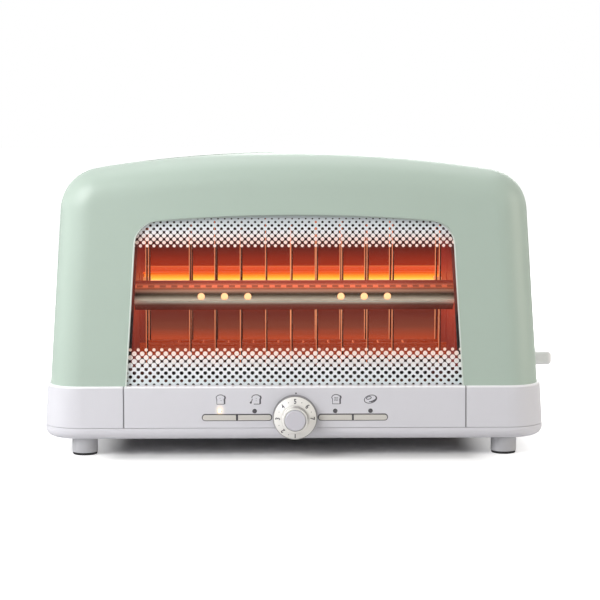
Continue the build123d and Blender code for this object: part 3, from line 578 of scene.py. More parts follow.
def glow_painted_sheet(name, stops, strength=1.0):
    """Heat-stained sheet metal inside the cavity, with the heaters' light painted on as a glow by
    height, streaked along its drawn lines.
    """
    material, tree, shader = finish(name, Metallic=0.15, Specular_IOR_Level=0.08)
    mask = cloudy(tree, shader, (26, 21, 20), 45.0, 0.15)
    spread(tree, shader, mask, 0.36, 0.55)
    lines = grouped(tree, BRUSHED, Scale=3.0, Squeeze=90.0).outputs
    bump(tree, shader, lines["Height"], 0.03, 0.4)
    streak = ranged(tree, lines["Mask"], 0.0, 1.0, 0.72, 1.28)
    shining(tree, shader, scaled(tree, height_ramp(tree, stops), streak), strength)
    return material


def cavity_wall():
    """The cavity's back, with the heaters' light painted on: an orange band behind the trough's
    edge, dark red over it up to black, brown under the trough and orange again near the rack."""
    stops = [
        (55, 20, 8, 7),
        (60, 84, 28, 20),
        (68, 134, 42, 26),
        (74, 182, 74, 44),
        (79, 160, 70, 48),
        (84, 130, 64, 48),
        (96, 112, 46, 36),
        (110, 150, 52, 30),
        (130, 235, 84, 38),
        (134.6, 226, 86, 52),
        (135.6, 238, 112, 66),
        (136.2, 166, 50, 28),
        (150, 110, 37, 27),
        (158, 50, 17, 14),
        (170, 18, 9, 10),
    ]
    return glow_painted_sheet("cavity_wall", stops)


def cavity_side(name, strength):
    """One end of the cavity, with the heaters' glow painted on in dull red."""
    stops = [
        (55, 6, 4, 4),
        (62, 26, 11, 9),
        (68, 104, 38, 31),
        (90, 128, 46, 36),
        (121, 168, 62, 44),
        (150, 126, 40, 32),
        (166, 30, 12, 12),
    ]
    return glow_painted_sheet(name, stops, strength)


def galvanised():
    """Zinc-coated sheet with its faint spangle, away from the heat."""
    material, tree, shader = finish("galvanised_sheet", Metallic=1.0)
    mask = cloudy(tree, shader, (178, 178, 176), 40.0, 0.06)
    base = shader.inputs["Base Color"]
    cells = add(tree, "ShaderNodeTexVoronoi", {"Vector": here(tree), "Scale": 160.0})
    inputs = {0: 0.08, "A": base.links[0].from_socket, "B": cells.outputs["Color"]}
    spangle = add(tree, "ShaderNodeMix", inputs, data_type="RGBA", blend_type="MULTIPLY")
    put(tree, base, spangle.outputs["Result"])
    spread(tree, shader, mask, 0.3, 0.45)
    return material


def painted_dash_light(tree):
    """How brightly light is painted on the front trough: less in the gaps of the dashes, which a
    sine wave along X cuts from a line, and less towards both ends."""
    wave = math_node(tree, "SINE", times(tree, axis(tree, "X"), 2 * math.pi / (DASH_PITCH * MM)))
    gap = math_node(tree, "LESS_THAN", wave, 0.1)
    line = between(tree, axis(tree, "Z"), DASH_LOW, DASH_HIGH, 0.4)
    dimmed = plus(tree, times(tree, gap, line, -DASH_DARK), 1.0)
    middle = rise(tree, aside(tree), DIM_HALF, BRIGHT_HALF)
    return times(tree, dimmed, plus(tree, times(tree, middle, 0.36), DIM_LIGHT))


def brushed_bar():
    """The front heater's brushed steel trough: heat-stained flanges with the glow and a row of warm
    dashes painted on, and between them a round back whose light and dark bands of painted
    reflection run along it."""
    material, tree, shader = finish("brushed_bar", Metallic=0.8)
    # The base colour's light and dark bands along the round back are painted reflections
    bands = [
        (109.8, 40, 22, 18),
        (114.6, 60, 32, 28),
        (115.6, 190, 160, 150),
        (116.8, 255, 250, 240),
        (118.2, 246, 232, 214),
        (119.2, 196, 184, 164),
        (120.0, 155, 139, 124),
        (121.6, 107, 94, 79),
        (122.6, 74, 58, 46),
        (124.2, 70, 52, 40),
        (126.0, 134, 114, 94),
        (127.4, 84, 52, 42),
        (132.2, 50, 28, 22),
    ]
    cloudy(tree, shader, height_ramp(tree, bands), 30.0, 0.06)
    lines = grouped(tree, BRUSHED, Scale=3.0, Squeeze=260.0).outputs
    spread(tree, shader, lines["Mask"], 0.36, 0.56)
    bump(tree, shader, lines["Height"], 0.02, 0.5)
    # The heaters' glow painted on the flanges as light, with the dashes
    glow = [
        (109.8, 92, 34, 26),
        (112.7, 110, 54, 44),
        (114.6, 100, 66, 56),
        (116.9, 130, 118, 104),
        (119.2, 0, 0, 0),
        (123.6, 0, 0, 0),
        (124.7, 104, 68, 56),
        (126.4, 152, 94, 78),
        (127.4, 150, 76, 52),
        (128.4, 240, 114, 74),
        (129.4, 240, 116, 82),
        (130.2, 190, 92, 66),
        (131.0, 158, 60, 42),
        (132.2, 150, 56, 42),
    ]
    shining(tree, shader, scaled(tree, height_ramp(tree, glow), painted_dash_light(tree)))
    return material


def lit_trough():
    """The rear trough's inside, with the tube's light painted on as a glow, from yellow beside the
    tube to orange at its edge.
    """
    material, tree, shader = finish("lit_trough", Metallic=0.3, Specular_IOR_Level=0.1)
    cloudy(tree, shader, (60, 40, 30), 40.0, 0.08)
    lines = grouped(tree, BRUSHED, Scale=3.0, Squeeze=200.0)
    spread(tree, shader, lines.outputs["Mask"], 0.3, 0.5)
    stops = [
        (110, 120, 36, 24),
        (118, 200, 84, 36),
        (123, 255, 222, 116),
        (125, 255, 212, 90),
        (127.4, 255, 162, 40),
        (130, 246, 108, 34),
        (133, 236, 90, 38),
    ]
    shining(tree, shader, height_ramp(tree, stops))
    return material


def ceramic():
    """The tube holders' white ceramic, with the tube's light painted on as a warm glow beside it.
    """
    material, tree, shader = finish("ceramic_white", Roughness=0.7)
    cloudy(tree, shader, (222, 214, 204), 120.0, 0.06)
    heat = grouped(tree, HEATER_LIGHT, Reach=0.012).outputs["Glow"]
    glowing(tree, shader, heat, [(0.0, 60, 16, 10), (1.0, 255, 150, 70)])
    return material


def guard_wire(name, shade):
    """Drawn wire, dark from the heat, with the heaters' glow painted along its left side as a
    highlight, and a dim painted glow elsewhere.
    """
    material, tree, shader = finish(name, Metallic=1.0)
    mask = cloudy(tree, shader, (84, 58, 50), 80.0, 0.1)
    spread(tree, shader, mask, 0.2, 0.35)
    normal = add(tree, "ShaderNodeNewGeometry").outputs["Normal"]
    lit = ranged(tree, times(tree, axis(tree, "X", normal), -1.0), 0.1, 0.75)
    warm = times(tree, lit, grouped(tree, HEATER_LIGHT, Reach=0.055).outputs["Glow"])
    glowing(tree, shader, warm, [(0.0, *shade), (0.3, 226, 120, 84), (0.75, 255, 190, 130)])
    return material


def steel(name, colour, low, high):
    """Plain metal with drawn lines."""
    material, tree, shader = finish(name, Metallic=1.0)
    cloudy(tree, shader, colour, 60.0, 0.06)
    lines = grouped(tree, BRUSHED, Scale=5.0, Squeeze=120.0).outputs
    spread(tree, shader, lines["Mask"], low, high)
    bump(tree, shader, lines["Height"], 0.01, 0.3)
    return material


def lamp_lens():
    """The lamps' light guides: the first one lit, the others dark and glossy."""
    material, tree, shader = finish("lamp_lens", Roughness=0.18)
    cloudy(tree, shader, (92, 90, 94), 300.0, 0.1)
    lit = math_node(tree, "LESS_THAN", axis(tree, "X"), lens_low.x + 10 * MM)
    glowing(tree, shader, lit, [(0.0, 0, 0, 0), (1.0, 255, 244, 214)], 2.2)
    return material


def circuit_board():
    """Green solder mask with paler tracks under it."""
    material, tree, shader = finish("circuit_board", Roughness=0.35)
    inputs = {
        "Vector": here(tree),
        "Scale": 120.0,
        "Mortar Size": 0.06,
        "Color1": srgb(24, 92, 58),
        "Color2": srgb(28, 100, 62),
        "Mortar": srgb(60, 134, 84),
    }
    tracks = add(tree, "ShaderNodeTexBrick", inputs)
    put(tree, shader.inputs["Base Color"], tracks.outputs["Color"])
    return material


# The solids' finishes; names that share one stand together
COIL_FINISH = glowing_coil()
FINISHES = {
    "outer_shell": mint_paint(),
    "glass_window": window_glass(),
    "glass_retainer": dark_steel(),
    "rear_wall": cavity_wall(),
    # The right end is painted with a stronger glow than the left
    "end_plate_left": cavity_side("cavity_side_left", 0.92),
    "end_plate_right": cavity_side("cavity_side_right", 1.25),
    "chassis_floor": glow_painted_sheet("cavity_floor", [(43, 6, 4, 4), (62, 40, 14, 10)]),
    "slot_liner cavity_roof tray_runners": galvanised(),
    "front_heater_housing": brushed_bar(),
    "rear_heater_housing": lit_trough(),
    "front_heater_tube rear_heater_tube": quartz(),
    "front_filament rear_filament": COIL_FINISH,
    "tube_holders": ceramic(),
    # Each wire's dim painted glow away from its painted highlight; the rack's is brighter
    "front_wire_guard rear_wire_guard": guard_wire("guard_wire", (40, 16, 11)),
    "bread_rack": guard_wire("rack_wire", (148, 54, 30)),
    "base_surround base_pan": lilac_plastic(),
    "base_front_panel": panel_plastic(),
    "feet": moulded("foot_plastic", (188, 188, 192), 0.45),
    "foot_pads": moulded("pad_rubber", (38, 38, 40), 0.8, 800.0, 0.05, 0.1),
    "control_dial": dial_plastic(),
    "cancel_button": moulded("cancel_plastic", (213, 211, 219), 0.42),
    "mode_button_1 mode_button_2 mode_button_3 mode_button_4": mode_button_plastic(),
    "led_lenses": lamp_lens(),
    "lever_knob": moulded("knob_plastic", (250, 249, 250), 0.42),
    "control_board power_board": circuit_board(),
    "mode_switches cancel_switch dial_encoder carriage_slider latch_magnet lever_guide power_parts":
        moulded("black_plastic", (40, 40, 42), 0.5, 900.0, 0.03, 0.05),
    "cord_gland": moulded("gland_plastic", (48, 48, 50), 0.5, 900.0, 0.03, 0.05),
    "latch_armature lever_arm guide_rod carriage_bracket return_spring":
        steel("plain_steel", (168, 166, 162), 0.28, 0.42),
    # The crumb tray is made dark so that the print's lower holes show shade
    "crumb_tray": steel("tray_steel_darkened_for_shade", (50, 48, 47), 0.4, 0.55),
    "base_screws board_screws chassis_screws": steel("screw_steel", (150, 150, 150), 0.3, 0.45),
}
for names, material in FINISHES.items():
    for name in names.split():
        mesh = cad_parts[name].data
        mesh.materials.clear()
        mesh.materials.append(material)


# New pieces

FILM_THICKNESS = 0.02


def placed(name, data):
    """An object at the origin, in the scene."""
    made = bpy.data.objects.new(name, data)
    bpy.context.scene.collection.objects.link(made)
    return made


def piece(name, points, faces, material, body):
    """A mesh of points in metres and faces, which rides on a body and takes a slot's finish."""
    mesh = bpy.data.meshes.new(name)
    mesh.from_pydata(points.tolist(), [], faces)
    mesh.materials.append(material)
    made = placed(name, mesh)
    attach(made, body)
    return made


def film(name, parts, material, body):
    """A thin closed film: flat parts, each (points, faces), which a Solidify modifier gives a back
    just behind them."""
    faces, total = [], 0
    for points, loops in parts:
        faces += [(np.asarray(loop) + total).tolist() for loop in loops]
        total += len(points)
    points = np.concatenate([points for points, _ in parts])
    made = piece(name, points, faces, material, body)
    backed = made.modifiers.new("thickness", "SOLIDIFY")
    backed.thickness = FILM_THICKNESS * MM
    backed.offset = -1
    return made


def on_glass(u, v, proud):
    """Points in mm across and up the glass's front, as places in metres, proud of the glass."""
    foot_y = glass_low.y / MM
    foot_z = glass_low.z / MM + GLASS_THICKNESS * math.sin(LEAN)
    up = v - GLASS_LIFT
    x = u + MIDDLE_X / MM
    y = foot_y + up * math.sin(LEAN) - proud * math.cos(LEAN)
    z = foot_z + up * math.cos(LEAN) + proud * math.sin(LEAN)
    return np.stack([x, y, z], -1) * MM


def outside_window(u, v):
    """How far points lie outside the window's opening: the rounded meeting of its leaning sides
    and the arch over it, each drawn in by the corner's radius, less that radius."""
    side = (np.abs(u) - WINDOW_HALF + math.tan(LEAN) * v) * math.cos(LEAN) + WINDOW_CORNER
    top = np.hypot(u, v - WINDOW_RISE + WINDOW_ARCH) - WINDOW_ARCH + WINDOW_CORNER
    beyond = np.hypot(np.maximum(side, 0), np.maximum(top, 0))
    return beyond + np.minimum(np.maximum(side, top), 0) - WINDOW_CORNER


def held_in(u, v, margin):
    """Moves the points that lie more than a margin outside the window back to that margin."""
    step = 0.01
    over = np.maximum(outside_window(u, v) - margin, 0)
    slope_u = (outside_window(u + step, v) - outside_window(u - step, v)) / (2 * step)
    slope_v = (outside_window(u, v + step) - outside_window(u, v - step)) / (2 * step)
    return u - over * slope_u, v - over * slope_v


# The white print on the glass: rows of dots that grow and close up towards the window's edge, where
# only small holes are left
DOT_SIDES = 14
LOW_PITCH = 6.073
LOW_START = -120.78
LOW_FIRST = 28.0
LOW_STEP = 2.995
LOW_DOTS = (1.26, 1.82, 1.92, 2.0, 2.06, 1.78)
LOW_HOLES = (1.5, 1.46, 1.38, 1.24, 1.06)
HIGH_PITCH = 5.196
HIGH_START = -118.73
HIGH_FIRST = 108.2
HIGH_STEP = 2.598
HIGH_DOTS = (1.22, 1.44, 1.58, 1.68, 1.74, 1.52)
HIGH_HOLES = (1.24, 1.1, 0.96, 0.66)
PRINT_LAP = 0.8
PRINT_FOOT = -0.5
PRINT_PROUD = 0.05
SPARE_COLUMNS = 3
STRIP_STEPS = 120

# Sixteen places round the edge of a square cell that reaches from -1 to 1
EDGE_STEPS = np.array([-1, -0.5, 0, 0.5])
EDGE_SIDE = np.stack([np.ones(4), EDGE_STEPS], -1)
EDGE_TOP = np.stack([-EDGE_STEPS, np.ones(4)], -1)
CELL_EDGE = np.concatenate([EDGE_SIDE, EDGE_TOP, -EDGE_SIDE, -EDGE_TOP])


def dots(u, v, radius):
    """A filled polygon round each centre: its corners at equal angles on a circle."""
    turn = np.arange(DOT_SIDES) * 2 * np.pi / DOT_SIDES
    rim_u = u[:, None] + radius * np.cos(turn)
    rim_v = v[:, None] + radius * np.sin(turn)
    return rim_u.ravel(), rim_v.ravel(), np.arange(rim_u.size).reshape(-1, DOT_SIDES)


def holed_cells(u, v, pitch, step, radius):
    """Square-edged cells that tile a row, each with a round hole: a ring of quads runs from the
    cell's edge to the circle, corner by corner at the same angle."""
    edge = CELL_EDGE * np.array([pitch / 2, step / 2])
    turn = np.arctan2(edge[:, 1], edge[:, 0])
    hole = radius * np.stack([np.cos(turn), np.sin(turn)], -1)
    ring = np.concatenate([edge, hole])
    points_u = u[:, None] + ring[:, 0]
    points_v = v[:, None] + ring[:, 1]
    count = len(edge)
    corner = np.arange(count)
    after = (corner + 1) % count
    quads = np.stack([corner, after, after + count, corner + count], -1)
    start = np.arange(len(u))[:, None, None] * 2 * count
    return points_u.ravel(), points_v.ravel(), (quads[None] + start).reshape(-1, 4)


def print_rows(start, first, pitch, step, dot_radii, hole_radii):
    """One band of the print: rows a step apart, shifted in turn by half a pitch. The last row of
    dots lies on the first row of holes and squares them off."""
    count = int(2 * WINDOW_HALF / pitch) + 2 * SPARE_COLUMNS
    columns = start + (np.arange(count) - SPARE_COLUMNS) * pitch
    parts = []
    for row, radius in enumerate(dot_radii):
        u = columns + (row % 2) * pitch / 2
        v = np.full(count, first + row * step)
        inside = outside_window(u, v) < PRINT_LAP
        parts.append((*dots(u[inside], v[inside], radius), PRINT_PROUD))
    for row, radius in enumerate(hole_radii, start=len(dot_radii) - 1):
        u = columns + ((row + 1) % 2) * pitch / 2
        v = np.full(count, first + row * step)
        inside = outside_window(u, v) < PRINT_LAP + pitch / 3
        cells = holed_cells(u[inside], v[inside], pitch, abs(step), radius)
        parts.append((*cells, PRINT_PROUD / 2))
    return parts


def print_white():
    """The print's enamel: white, painted warmer where the glow comes through, and painted greyer
    for the shade along the window's foot and under its arch, with the glow painted on as light."""
    painted_shades = [
        (54, 206, 209, 213),
        (56, 222, 231, 232),
        (61, 232, 237, 240),
        (65, 245, 246, 249),
        (71, 250, 246, 246),
        (77, 252, 238, 232),
        (83, 255, 226, 212),
        (162, 255, 236, 228),
        (166, 255, 228, 220),
        (170, 248, 240, 238),
        (173, 244, 243, 246),
        (178, 224, 229, 232),
        (182, 206, 212, 217),
        (187, 186, 193, 199),
    ]
    glow = [
        (70, 0, 0, 0),
        (78, 56, 26, 16),
        (83, 84, 34, 20),
        (162, 84, 34, 22),
        (167, 60, 28, 18),
        (173, 0, 0, 0),
    ]
    material = moulded("print_white", painted_shades, 0.5, 700.0, 0.01, 0.03)
    tree, shader = inner(material)
    shining(tree, shader, height_ramp(tree, glow))
    return material


def closing_strip(first, last):
    """The plain band between the last row and the window's arch, as one row of quads."""
    u = np.linspace(-WINDOW_HALF, WINDOW_HALF, STRIP_STEPS)
    points_v = np.repeat([first, last], STRIP_STEPS)
    near = np.arange(STRIP_STEPS - 1)
    faces = np.stack([near, near + 1, near + 1 + STRIP_STEPS, near + STRIP_STEPS], -1)
    return np.tile(u, 2), points_v, faces, PRINT_PROUD / 2


def window_print():
    """Both bands of the print in one thin film, held inside the window and laid on the glass."""
    flat = print_rows(LOW_START, LOW_FIRST, LOW_PITCH, -LOW_STEP, LOW_DOTS, LOW_HOLES)
    flat += print_rows(HIGH_START, HIGH_FIRST, HIGH_PITCH, HIGH_STEP, HIGH_DOTS, HIGH_HOLES)
    last = HIGH_FIRST + (len(HIGH_DOTS) + len(HIGH_HOLES) - 1.5) * HIGH_STEP
    flat.append(closing_strip(last, WINDOW_RISE + PRINT_LAP))
    parts = []
    for u, v, loops, proud in flat:
        u, v = held_in(u, v, PRINT_LAP)
        parts.append((on_glass(u, np.maximum(v, PRINT_FOOT), proud), loops))
    return film("window_print", parts, print_white(), "case")


# The fine bead that the paint forms round the window's edge, painted paler than the shell as a
# highlight
BEAD_WIDTH = 1.2
BEAD_HEIGHT = 0.4
BEAD_OUT = 0.3
BEAD_SINK = 0.02
BEAD_STEPS = 160
BEAD_SIDES = 7
HALVINGS = 24
HEM_DEPTH = 2.5


def bead_highlight_paint():
    """The bead's paint: a painted highlight, pale down the sides, and painted shade under the arch.
    """
    stops = [
        (60, 214, 223, 216),
        (165, 222, 229, 222),
        (180, 170, 182, 174),
        (186, 138, 149, 143),
    ]
    return moulded("bead_highlight_paint", stops, 0.3, 900.0, 0.005)


def window_bead():
    """Half an ellipse moved along the window's outline: rays from the window's middle cross the
    outline where halving a length between inside and outside finds it."""
    foot_turn = math.atan2(-WINDOW_RISE / 2, WINDOW_HALF)
    turn = np.linspace(foot_turn, np.pi - foot_turn, BEAD_STEPS)
    near, far = np.zeros(BEAD_STEPS), np.full(BEAD_STEPS, 2 * WINDOW_HALF)
    for _ in range(HALVINGS):
        middle = (near + far) / 2
        v = WINDOW_RISE / 2 + middle * np.sin(turn)
        beyond = outside_window(middle * np.cos(turn), v) > BEAD_OUT
        near, far = np.where(beyond, near, middle), np.where(beyond, middle, far)
    u, v = near * np.cos(turn), WINDOW_RISE / 2 + near * np.sin(turn)
    along = np.stack([np.gradient(u), np.gradient(v)], -1)
    along /= np.linalg.norm(along, axis=1)[:, None]
    lift = np.linspace(0, np.pi, BEAD_SIDES)
    across = BEAD_WIDTH / 2 * np.cos(lift)
    points_u = u[:, None] + along[:, 1][:, None] * across
    points_v = v[:, None] - along[:, 0][:, None] * across
    proud = BEAD_HEIGHT * np.sin(lift) + HEM_DEPTH - BEAD_SINK
    height = np.broadcast_to(proud, points_u.shape)
    points = on_glass(points_u.ravel(), points_v.ravel(), height.ravel())
    start = np.arange(BEAD_STEPS - 1)[:, None] * BEAD_SIDES + np.arange(BEAD_SIDES - 1)
    quads = np.stack([start, start + BEAD_SIDES, start + BEAD_SIDES + 1, start + 1], -1)
    faces = quads.reshape(-1, 4).tolist()
    return piece("window_bead", points, faces, bead_highlight_paint(), "case")


# The small prints on the control panel
PANEL_PROUD = 0.04
INK_WIDTH = 0.58
THIN_INK_WIDTH = 0.4
SLICE_WIDTH = 6.6
SLICE_HEIGHT = 7.2
SLICE_NECK = 0.84
SLICE_SHOULDER = 0.16
NECK_DROP = 0.9
CRUST_WIDTH = 0.85
CRUST_OUT = 0.55
SIGN_Z = 44.0
PLAIN_X = -57.4
FROZEN_X = -29.9
TOPPED_X = 31.7
ROLL_X = 58.3
POINTER_X = 0.8


def on_panel(x, z):
    """Points in mm on the control panel's drafted front, as places in metres."""
    front = panel_low.y / MM + math.tan(LEAN) * (z - PANEL_FOOT) - PANEL_PROUD
    return np.stack([x + MIDDLE_X / MM, front, z], -1) * MM


def stroke(path, width=INK_WIDTH, closed=False):
    """A ribbon along a flat path: each point goes half the width to both sides, square to the
    line through its neighbours, and quads join the two edges."""
    path = np.asarray(path, float)
    ahead = np.roll(path, -1, 0)
    behind = np.roll(path, 1, 0)
    if not closed:
        ahead[-1] = path[-1]
        behind[0] = path[0]
    along = ahead - behind
    along /= np.linalg.norm(along, axis=1)[:, None]
    side = np.stack([-along[:, 1], along[:, 0]], -1) * width / 2
    count = len(path)
    start = np.arange(count if closed else count - 1)
    after = (start + 1) % count
    quads = np.stack([start, start + count, after + count, after], -1)
    return np.concatenate([path + side, path - side]), quads


def slice_outline():
    """A slice of bread from the front: straight sides, and over them half an ellipse that is a
    little wider than they are."""
    half = SLICE_WIDTH / 2
    foot = -SLICE_HEIGHT / 2
    side = half * SLICE_NECK
    shoulder = SLICE_HEIGHT * SLICE_SHOULDER
    neck = shoulder - NECK_DROP
    crown = ellipse(0, shoulder, half, -foot - shoulder, 0, 0.0, np.pi, 22)
    return np.concatenate([[[-side, foot], [side, foot], [side, neck]], crown, [[-side, neck]]])


def blot(x, z, radius):
    """A small filled round dot, as a ribbon that closes on its own centre."""
    return stroke(ellipse(x, z, radius / 2, radius / 2, 0, steps=13)[:-1], radius, True)


def ellipse(x, z, half_x, half_z, tilt, start=0.0, end=2 * np.pi, steps=30):
    """Points on an ellipse about (x, z), turned by tilt."""
    turn = np.linspace(start, end, steps)
    a = half_x * np.cos(turn)
    b = half_z * np.sin(turn)
    turned_x = a * math.cos(tilt) - b * math.sin(tilt)
    turned_z = a * math.sin(tilt) + b * math.cos(tilt)
    return np.stack([x + turned_x, z + turned_z], -1)


def pictograms():
    """The four modes' signs over their lamps: plain toast, frozen, cheese on top, and a roll; and
    the pointer's dot over the dial."""
    outline = slice_outline()
    crust = stroke(outline[1:9] + np.array([CRUST_OUT, 0.0]), CRUST_WIDTH)
    whole = stroke(outline, closed=True)
    plain = [whole, crust, blot(-0.3, 1.0, 0.28), blot(0.5, -0.7, 0.28)]
    frozen = [
        stroke(outline[1:-1]),
        stroke([[2.8, -3.6], [1.4, -3.6], [0.0, -3.6], [-1.8, -3.6]]),
        crust,
        blot(-4.1, -2.4, 0.85),
        stroke([[-4.0, -2.2], [-3.3, -1.0], [-2.9, 0.6]]),
        blot(0.0, 0.6, 0.25),
        blot(0.0, -0.9, 0.25),
    ]
    topped = [whole, crust]
    for z in (1.1, 0.1, -0.9):
        wave = [[-1.5, z], [-0.4, z + 0.25], [0.4, z], [1.5, z + 0.2]]
        topped.append(stroke(wave, THIN_INK_WIDTH))
    tilt = math.radians(14)
    roll = [
        stroke(ellipse(0, 0, 4.9, 3.0, tilt)[:-1], closed=True),
        stroke(ellipse(-1.3, 0.9, 1.9, 0.95, tilt)[:-1], closed=True),
        stroke(ellipse(-0.2, 0.2, 4.6, 2.0, tilt, -1.9, 0.5)),
        stroke(ellipse(0.3, -0.5, 4.2, 1.7, tilt, -1.7, 0.2)),
    ]
    pointer = [blot(0.0, 4.6, 0.65)]
    signs = (plain, frozen, topped, roll, pointer)
    places = (PLAIN_X, FROZEN_X, TOPPED_X, ROLL_X, POINTER_X)
    parts = []
    for strokes, centre_x in zip(signs, places):
        for edge, quads in strokes:
            parts.append((on_panel(edge[:, 0] + centre_x, edge[:, 1] + SIGN_Z), quads))
    material = moulded("panel_ink", (96, 94, 100), 0.5, 700.0, 0.01, 0.05)
    return film("panel_signs", parts, material, "case")


# The numbers and dots on the dial's cone
NUMBER_RADIUS = 13.4
NUMBER_HEIGHT = 4.1
NUMBER_NARROWING = 0.7
NUMBER_PROUD = 0.13
NUMBER_BOLDNESS = 0.045
CAPITAL_SHARE = 0.7
MARK_RADIUS = 0.34
FIRST_CLOCK = math.radians(180)
CLOCK_STEP = math.radians(45)


def on_dial(flat, clock):
    """Points in mm about a spot on the dial's cone at a clock angle, as places in metres: up runs
    outwards, and the height over the panel follows the cone."""
    slope = (DIAL_BEVEL - DIAL_RING) / (DIAL_BEVEL_RADIUS - DIAL_RING_RADIUS)
    reach = NUMBER_RADIUS + flat[:, 1] / math.hypot(1, slope)
    angle = clock + flat[:, 0] / NUMBER_RADIUS
    behind = DIAL_RING + slope * (reach - DIAL_RING_RADIUS)
    x = DIAL_X + reach * np.sin(angle) * MM
    y = dial_low.y + (behind - NUMBER_PROUD) * MM
    z = DIAL_Z + reach * np.cos(angle) * MM
    return np.stack([x, y, z], -1)


def numeral(sign):
    """A numeral's outline, filled, as points in mm about its middle, and its faces."""
    curve = bpy.data.curves.new("numeral", "FONT")
    curve.body = sign
    curve.align_x = "CENTER"
    curve.align_y = "CENTER"
    curve.size = NUMBER_HEIGHT / CAPITAL_SHARE
    curve.offset = NUMBER_BOLDNESS * NUMBER_HEIGHT
    text = placed("numeral", curve)
    bpy.context.view_layer.update()
    graph = bpy.context.evaluated_depsgraph_get()
    mesh = bpy.data.meshes.new_from_object(text.evaluated_get(graph))
    points = np.array([v.co[:2] for v in mesh.vertices])
    faces = [list(p.vertices) for p in mesh.polygons]
    bpy.data.objects.remove(text)
    points -= (points.min(0) + points.max(0)) / 2
    return points * (NUMBER_NARROWING, 1), faces


def dial_marks():
    """The browning numbers 1 to 7 round the dial, with a dot midway between each two."""
    parts = []
    for step, sign in enumerate("1234567"):
        flat, faces = numeral(sign)
        parts.append((on_dial(flat, FIRST_CLOCK + step * CLOCK_STEP), faces))
    for step in range(6):
        edge, quads = blot(0.0, 0.0, MARK_RADIUS)
        parts.append((on_dial(edge, FIRST_CLOCK + (step + 0.5) * CLOCK_STEP), quads))
    material = moulded("dial_ink", (96, 94, 98), 0.5, 700.0, 0.01, 0.05)
    return film("dial_marks", parts, material, "dial")


# The wound coils in the quartz tubes
COIL_RADIUS = 1.75
COIL_WIRE = 0.28
COIL_PITCH = 1.5
COIL_STEPS = 14
COIL_SIDES = 6


def wound_coil(node):
    """A wire wound on a circle that moves along X by one pitch a turn; its own section is a small
    circle square to the tube's axis and the turn."""
    low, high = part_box(node)
    centre = (low + high) / 2 / MM
    length = (high.x - low.x) / MM - 2 * COIL_WIRE
    turns = int(length / COIL_PITCH)
    turn = np.linspace(0, 2 * np.pi * turns, turns * COIL_STEPS + 1)[:, None]
    section = (np.arange(COIL_SIDES) * 2 * np.pi / COIL_SIDES)[None, :]
    reach = COIL_RADIUS + COIL_WIRE * np.cos(section)
    along = length * (turn / turn.max() - 0.5)
    x = centre.x + along + COIL_WIRE * np.sin(section)
    y = centre.y + reach * np.cos(turn)
    z = centre.z + reach * np.sin(turn)
    points = np.stack([x, y, z], -1).reshape(-1, 3) * MM
    ring, side = np.meshgrid(np.arange(len(turn) - 1), np.arange(COIL_SIDES), indexing="ij")
    after = (side + 1) % COIL_SIDES
    corners = [ring * COIL_SIDES + side, ring * COIL_SIDES + after]
    corners += [(ring + 1) * COIL_SIDES + after, (ring + 1) * COIL_SIDES + side]
    quads = np.stack(corners, -1).reshape(-1, 4)
    end = np.arange(COIL_SIDES)
    ends = [end[::-1].tolist(), (end + (len(turn) - 1) * COIL_SIDES).tolist()]
    name = node.replace("filament", "coil")
    made = piece(name, points, quads.tolist() + ends, COIL_FINISH, "case")
    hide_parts(node)
    return made


window_print()
window_bead()
pictograms()
dial_marks()
for node in ("front_filament", "rear_filament"):
    wound_coil(node)


# Floor, light and camera, in metres and watts

FLOOR_REACH = 30.0
# How the painted light that the floor adds for the camera grows past the base's outline
SHADOW_REACH = 0.11
EDGE_REACH = 0.03
EDGE_LIFT = 0.28
SIDE_FADE = 1.1
SIDE_IN = 0.066
SKY_LIGHT = 0.22
CAMERA_LENS = 108.0
CAMERA_TURN = (-1.033, 5.258, 0.027)
CAMERA_PLACE = (-0.020846, -1.462577, 0.247306)


def floor_white():
    """Matt white: it keeps most of the shadow under and close round the toaster, and from there out
    the camera sees it as plain white. The light that it adds for the camera is painted light: it
    grows with the distance past the base's outline, drawn in by SIDE_IN at the sides, a little at
    once and the rest slowly, so it also lightens the shadow under the base's sides."""
    material, tree, shader = finish(
        "floor_white", Base_Color=(0.78, 0.78, 0.78, 1), Roughness=0.9, Specular_IOR_Level=0.0
    )
    corner = (pan_high - pan_low) / 2
    past = vector_node(tree, "SUBTRACT", here(tree), (MIDDLE_X, MIDDLE_Y, 0))
    past = vector_node(tree, "ABSOLUTE", past)
    past = vector_node(tree, "SUBTRACT", past, (corner.x - SIDE_IN, corner.y, 0))
    past = vector_node(tree, "MAXIMUM", past, (0, 0, 0))
    past = vector_node(tree, "MULTIPLY", past, (SIDE_FADE, 1, 1))
    length = vector_node(tree, "LENGTH", past)
    fades = [
        ranged(tree, length, 0.0, reach, 0.0, lift, interpolation_type="SMOOTHSTEP")
        for reach, lift in ((SHADOW_REACH, 1 - EDGE_LIFT), (EDGE_REACH, EDGE_LIFT))
    ]
    path = add(tree, "ShaderNodeLightPath").outputs
    seen = larger(tree, path["Is Camera Ray"], path["Is Transmission Ray"])
    strength = times(tree, seen, plus(tree, *fades))
    lift = add(tree, "ShaderNodeEmission", {"Strength": strength}).outputs[0]
    both = add(tree, "ShaderNodeAddShader", {0: shader.outputs[0], 1: lift})
    surfaced(tree, both.outputs[0])
    return material


def floor():
    """A wide level square under the toaster."""
    mesh = bpy.data.meshes.new("floor")
    corners = np.array([(-1, -1, 0), (1, -1, 0), (1, 1, 0), (-1, 1, 0)]) * FLOOR_REACH
    mesh.from_pydata(corners.tolist(), [], [(0, 1, 2, 3)])
    mesh.materials.append(floor_white())
    placed("floor", mesh)


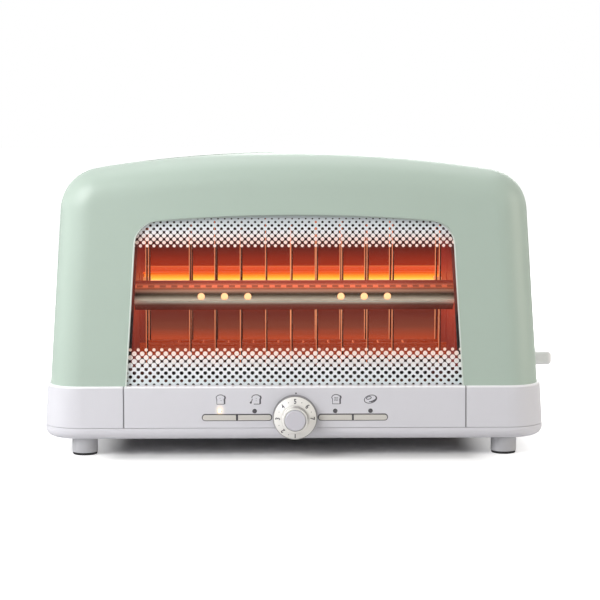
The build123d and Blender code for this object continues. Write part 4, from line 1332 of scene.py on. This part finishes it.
def studio():
    """White surroundings, which the camera, gloss and glass see at full strength."""
    world = bpy.data.worlds.new("studio")
    bpy.context.scene.world = world
    world.use_nodes = True
    tree = world.node_tree
    path = add(tree, "ShaderNodeLightPath").outputs
    rays = [path[f"Is {kind} Ray"] for kind in ("Camera", "Glossy", "Transmission")]
    back = tree.nodes["Background"].inputs
    put(tree, back["Color"], (1, 1, 1, 1))
    put(tree, back["Strength"], ranged(tree, larger(tree, *rays), 0.0, 1.0, SKY_LIGHT))


def soft_box(name, place, size, power, colour=(1.0, 1.0, 1.0), target=(0, 0, 0.1)):
    """A square soft light at a place, aimed at a target."""
    light = bpy.data.lights.new(name, "AREA")
    light.shape = "SQUARE"
    light.size = size
    light.energy = power
    light.color = colour
    back = np.array(place, float) - np.array(target, float)
    back /= np.linalg.norm(back)
    right = np.cross([0, 0, 1], back)
    right /= np.linalg.norm(right)
    turned = np.eye(4)
    turned[:3] = np.stack([right, np.cross(back, right), back, place], -1)
    placed(name, light).matrix_world = Matrix(turned.tolist())


def camera():
    """The photograph's viewpoint: a long lens a little above the toaster, turned and tipped."""
    lens = bpy.data.cameras.new("camera")
    lens.lens = CAMERA_LENS
    lens.sensor_width = 36.0
    yaw, pitch, roll = (math.radians(angle) for angle in CAMERA_TURN)
    turn = Matrix.Rotation(yaw, 4, "Z") @ Matrix.Rotation(-pitch, 4, "X")
    turn = turn @ Matrix.Rotation(roll, 4, "Y") @ Matrix.Rotation(math.pi / 2, 4, "X")
    x, y, z = CAMERA_PLACE
    made = placed("camera", lens)
    made.matrix_world = Matrix.Translation((MIDDLE_X + x, MIDDLE_Y + y, z)) @ turn
    bpy.context.scene.camera = made


floor()
studio()
soft_box("key", (-0.95, -0.75, 0.85), 0.8, 14.0)
soft_box("top", (0.1, 0.4, 2.2), 1.6, 14.0)
soft_box("right", (1.25, -0.35, 0.45), 0.8, 5.2, (1.0, 0.93, 0.82))
soft_box("left", (-1.3, 0.0, 0.5), 0.8, 2.3)
soft_box("back", (0.4, 1.5, 0.9), 1.0, 13.0)
camera()
bpy.context.scene.view_settings.view_transform = "Standard"
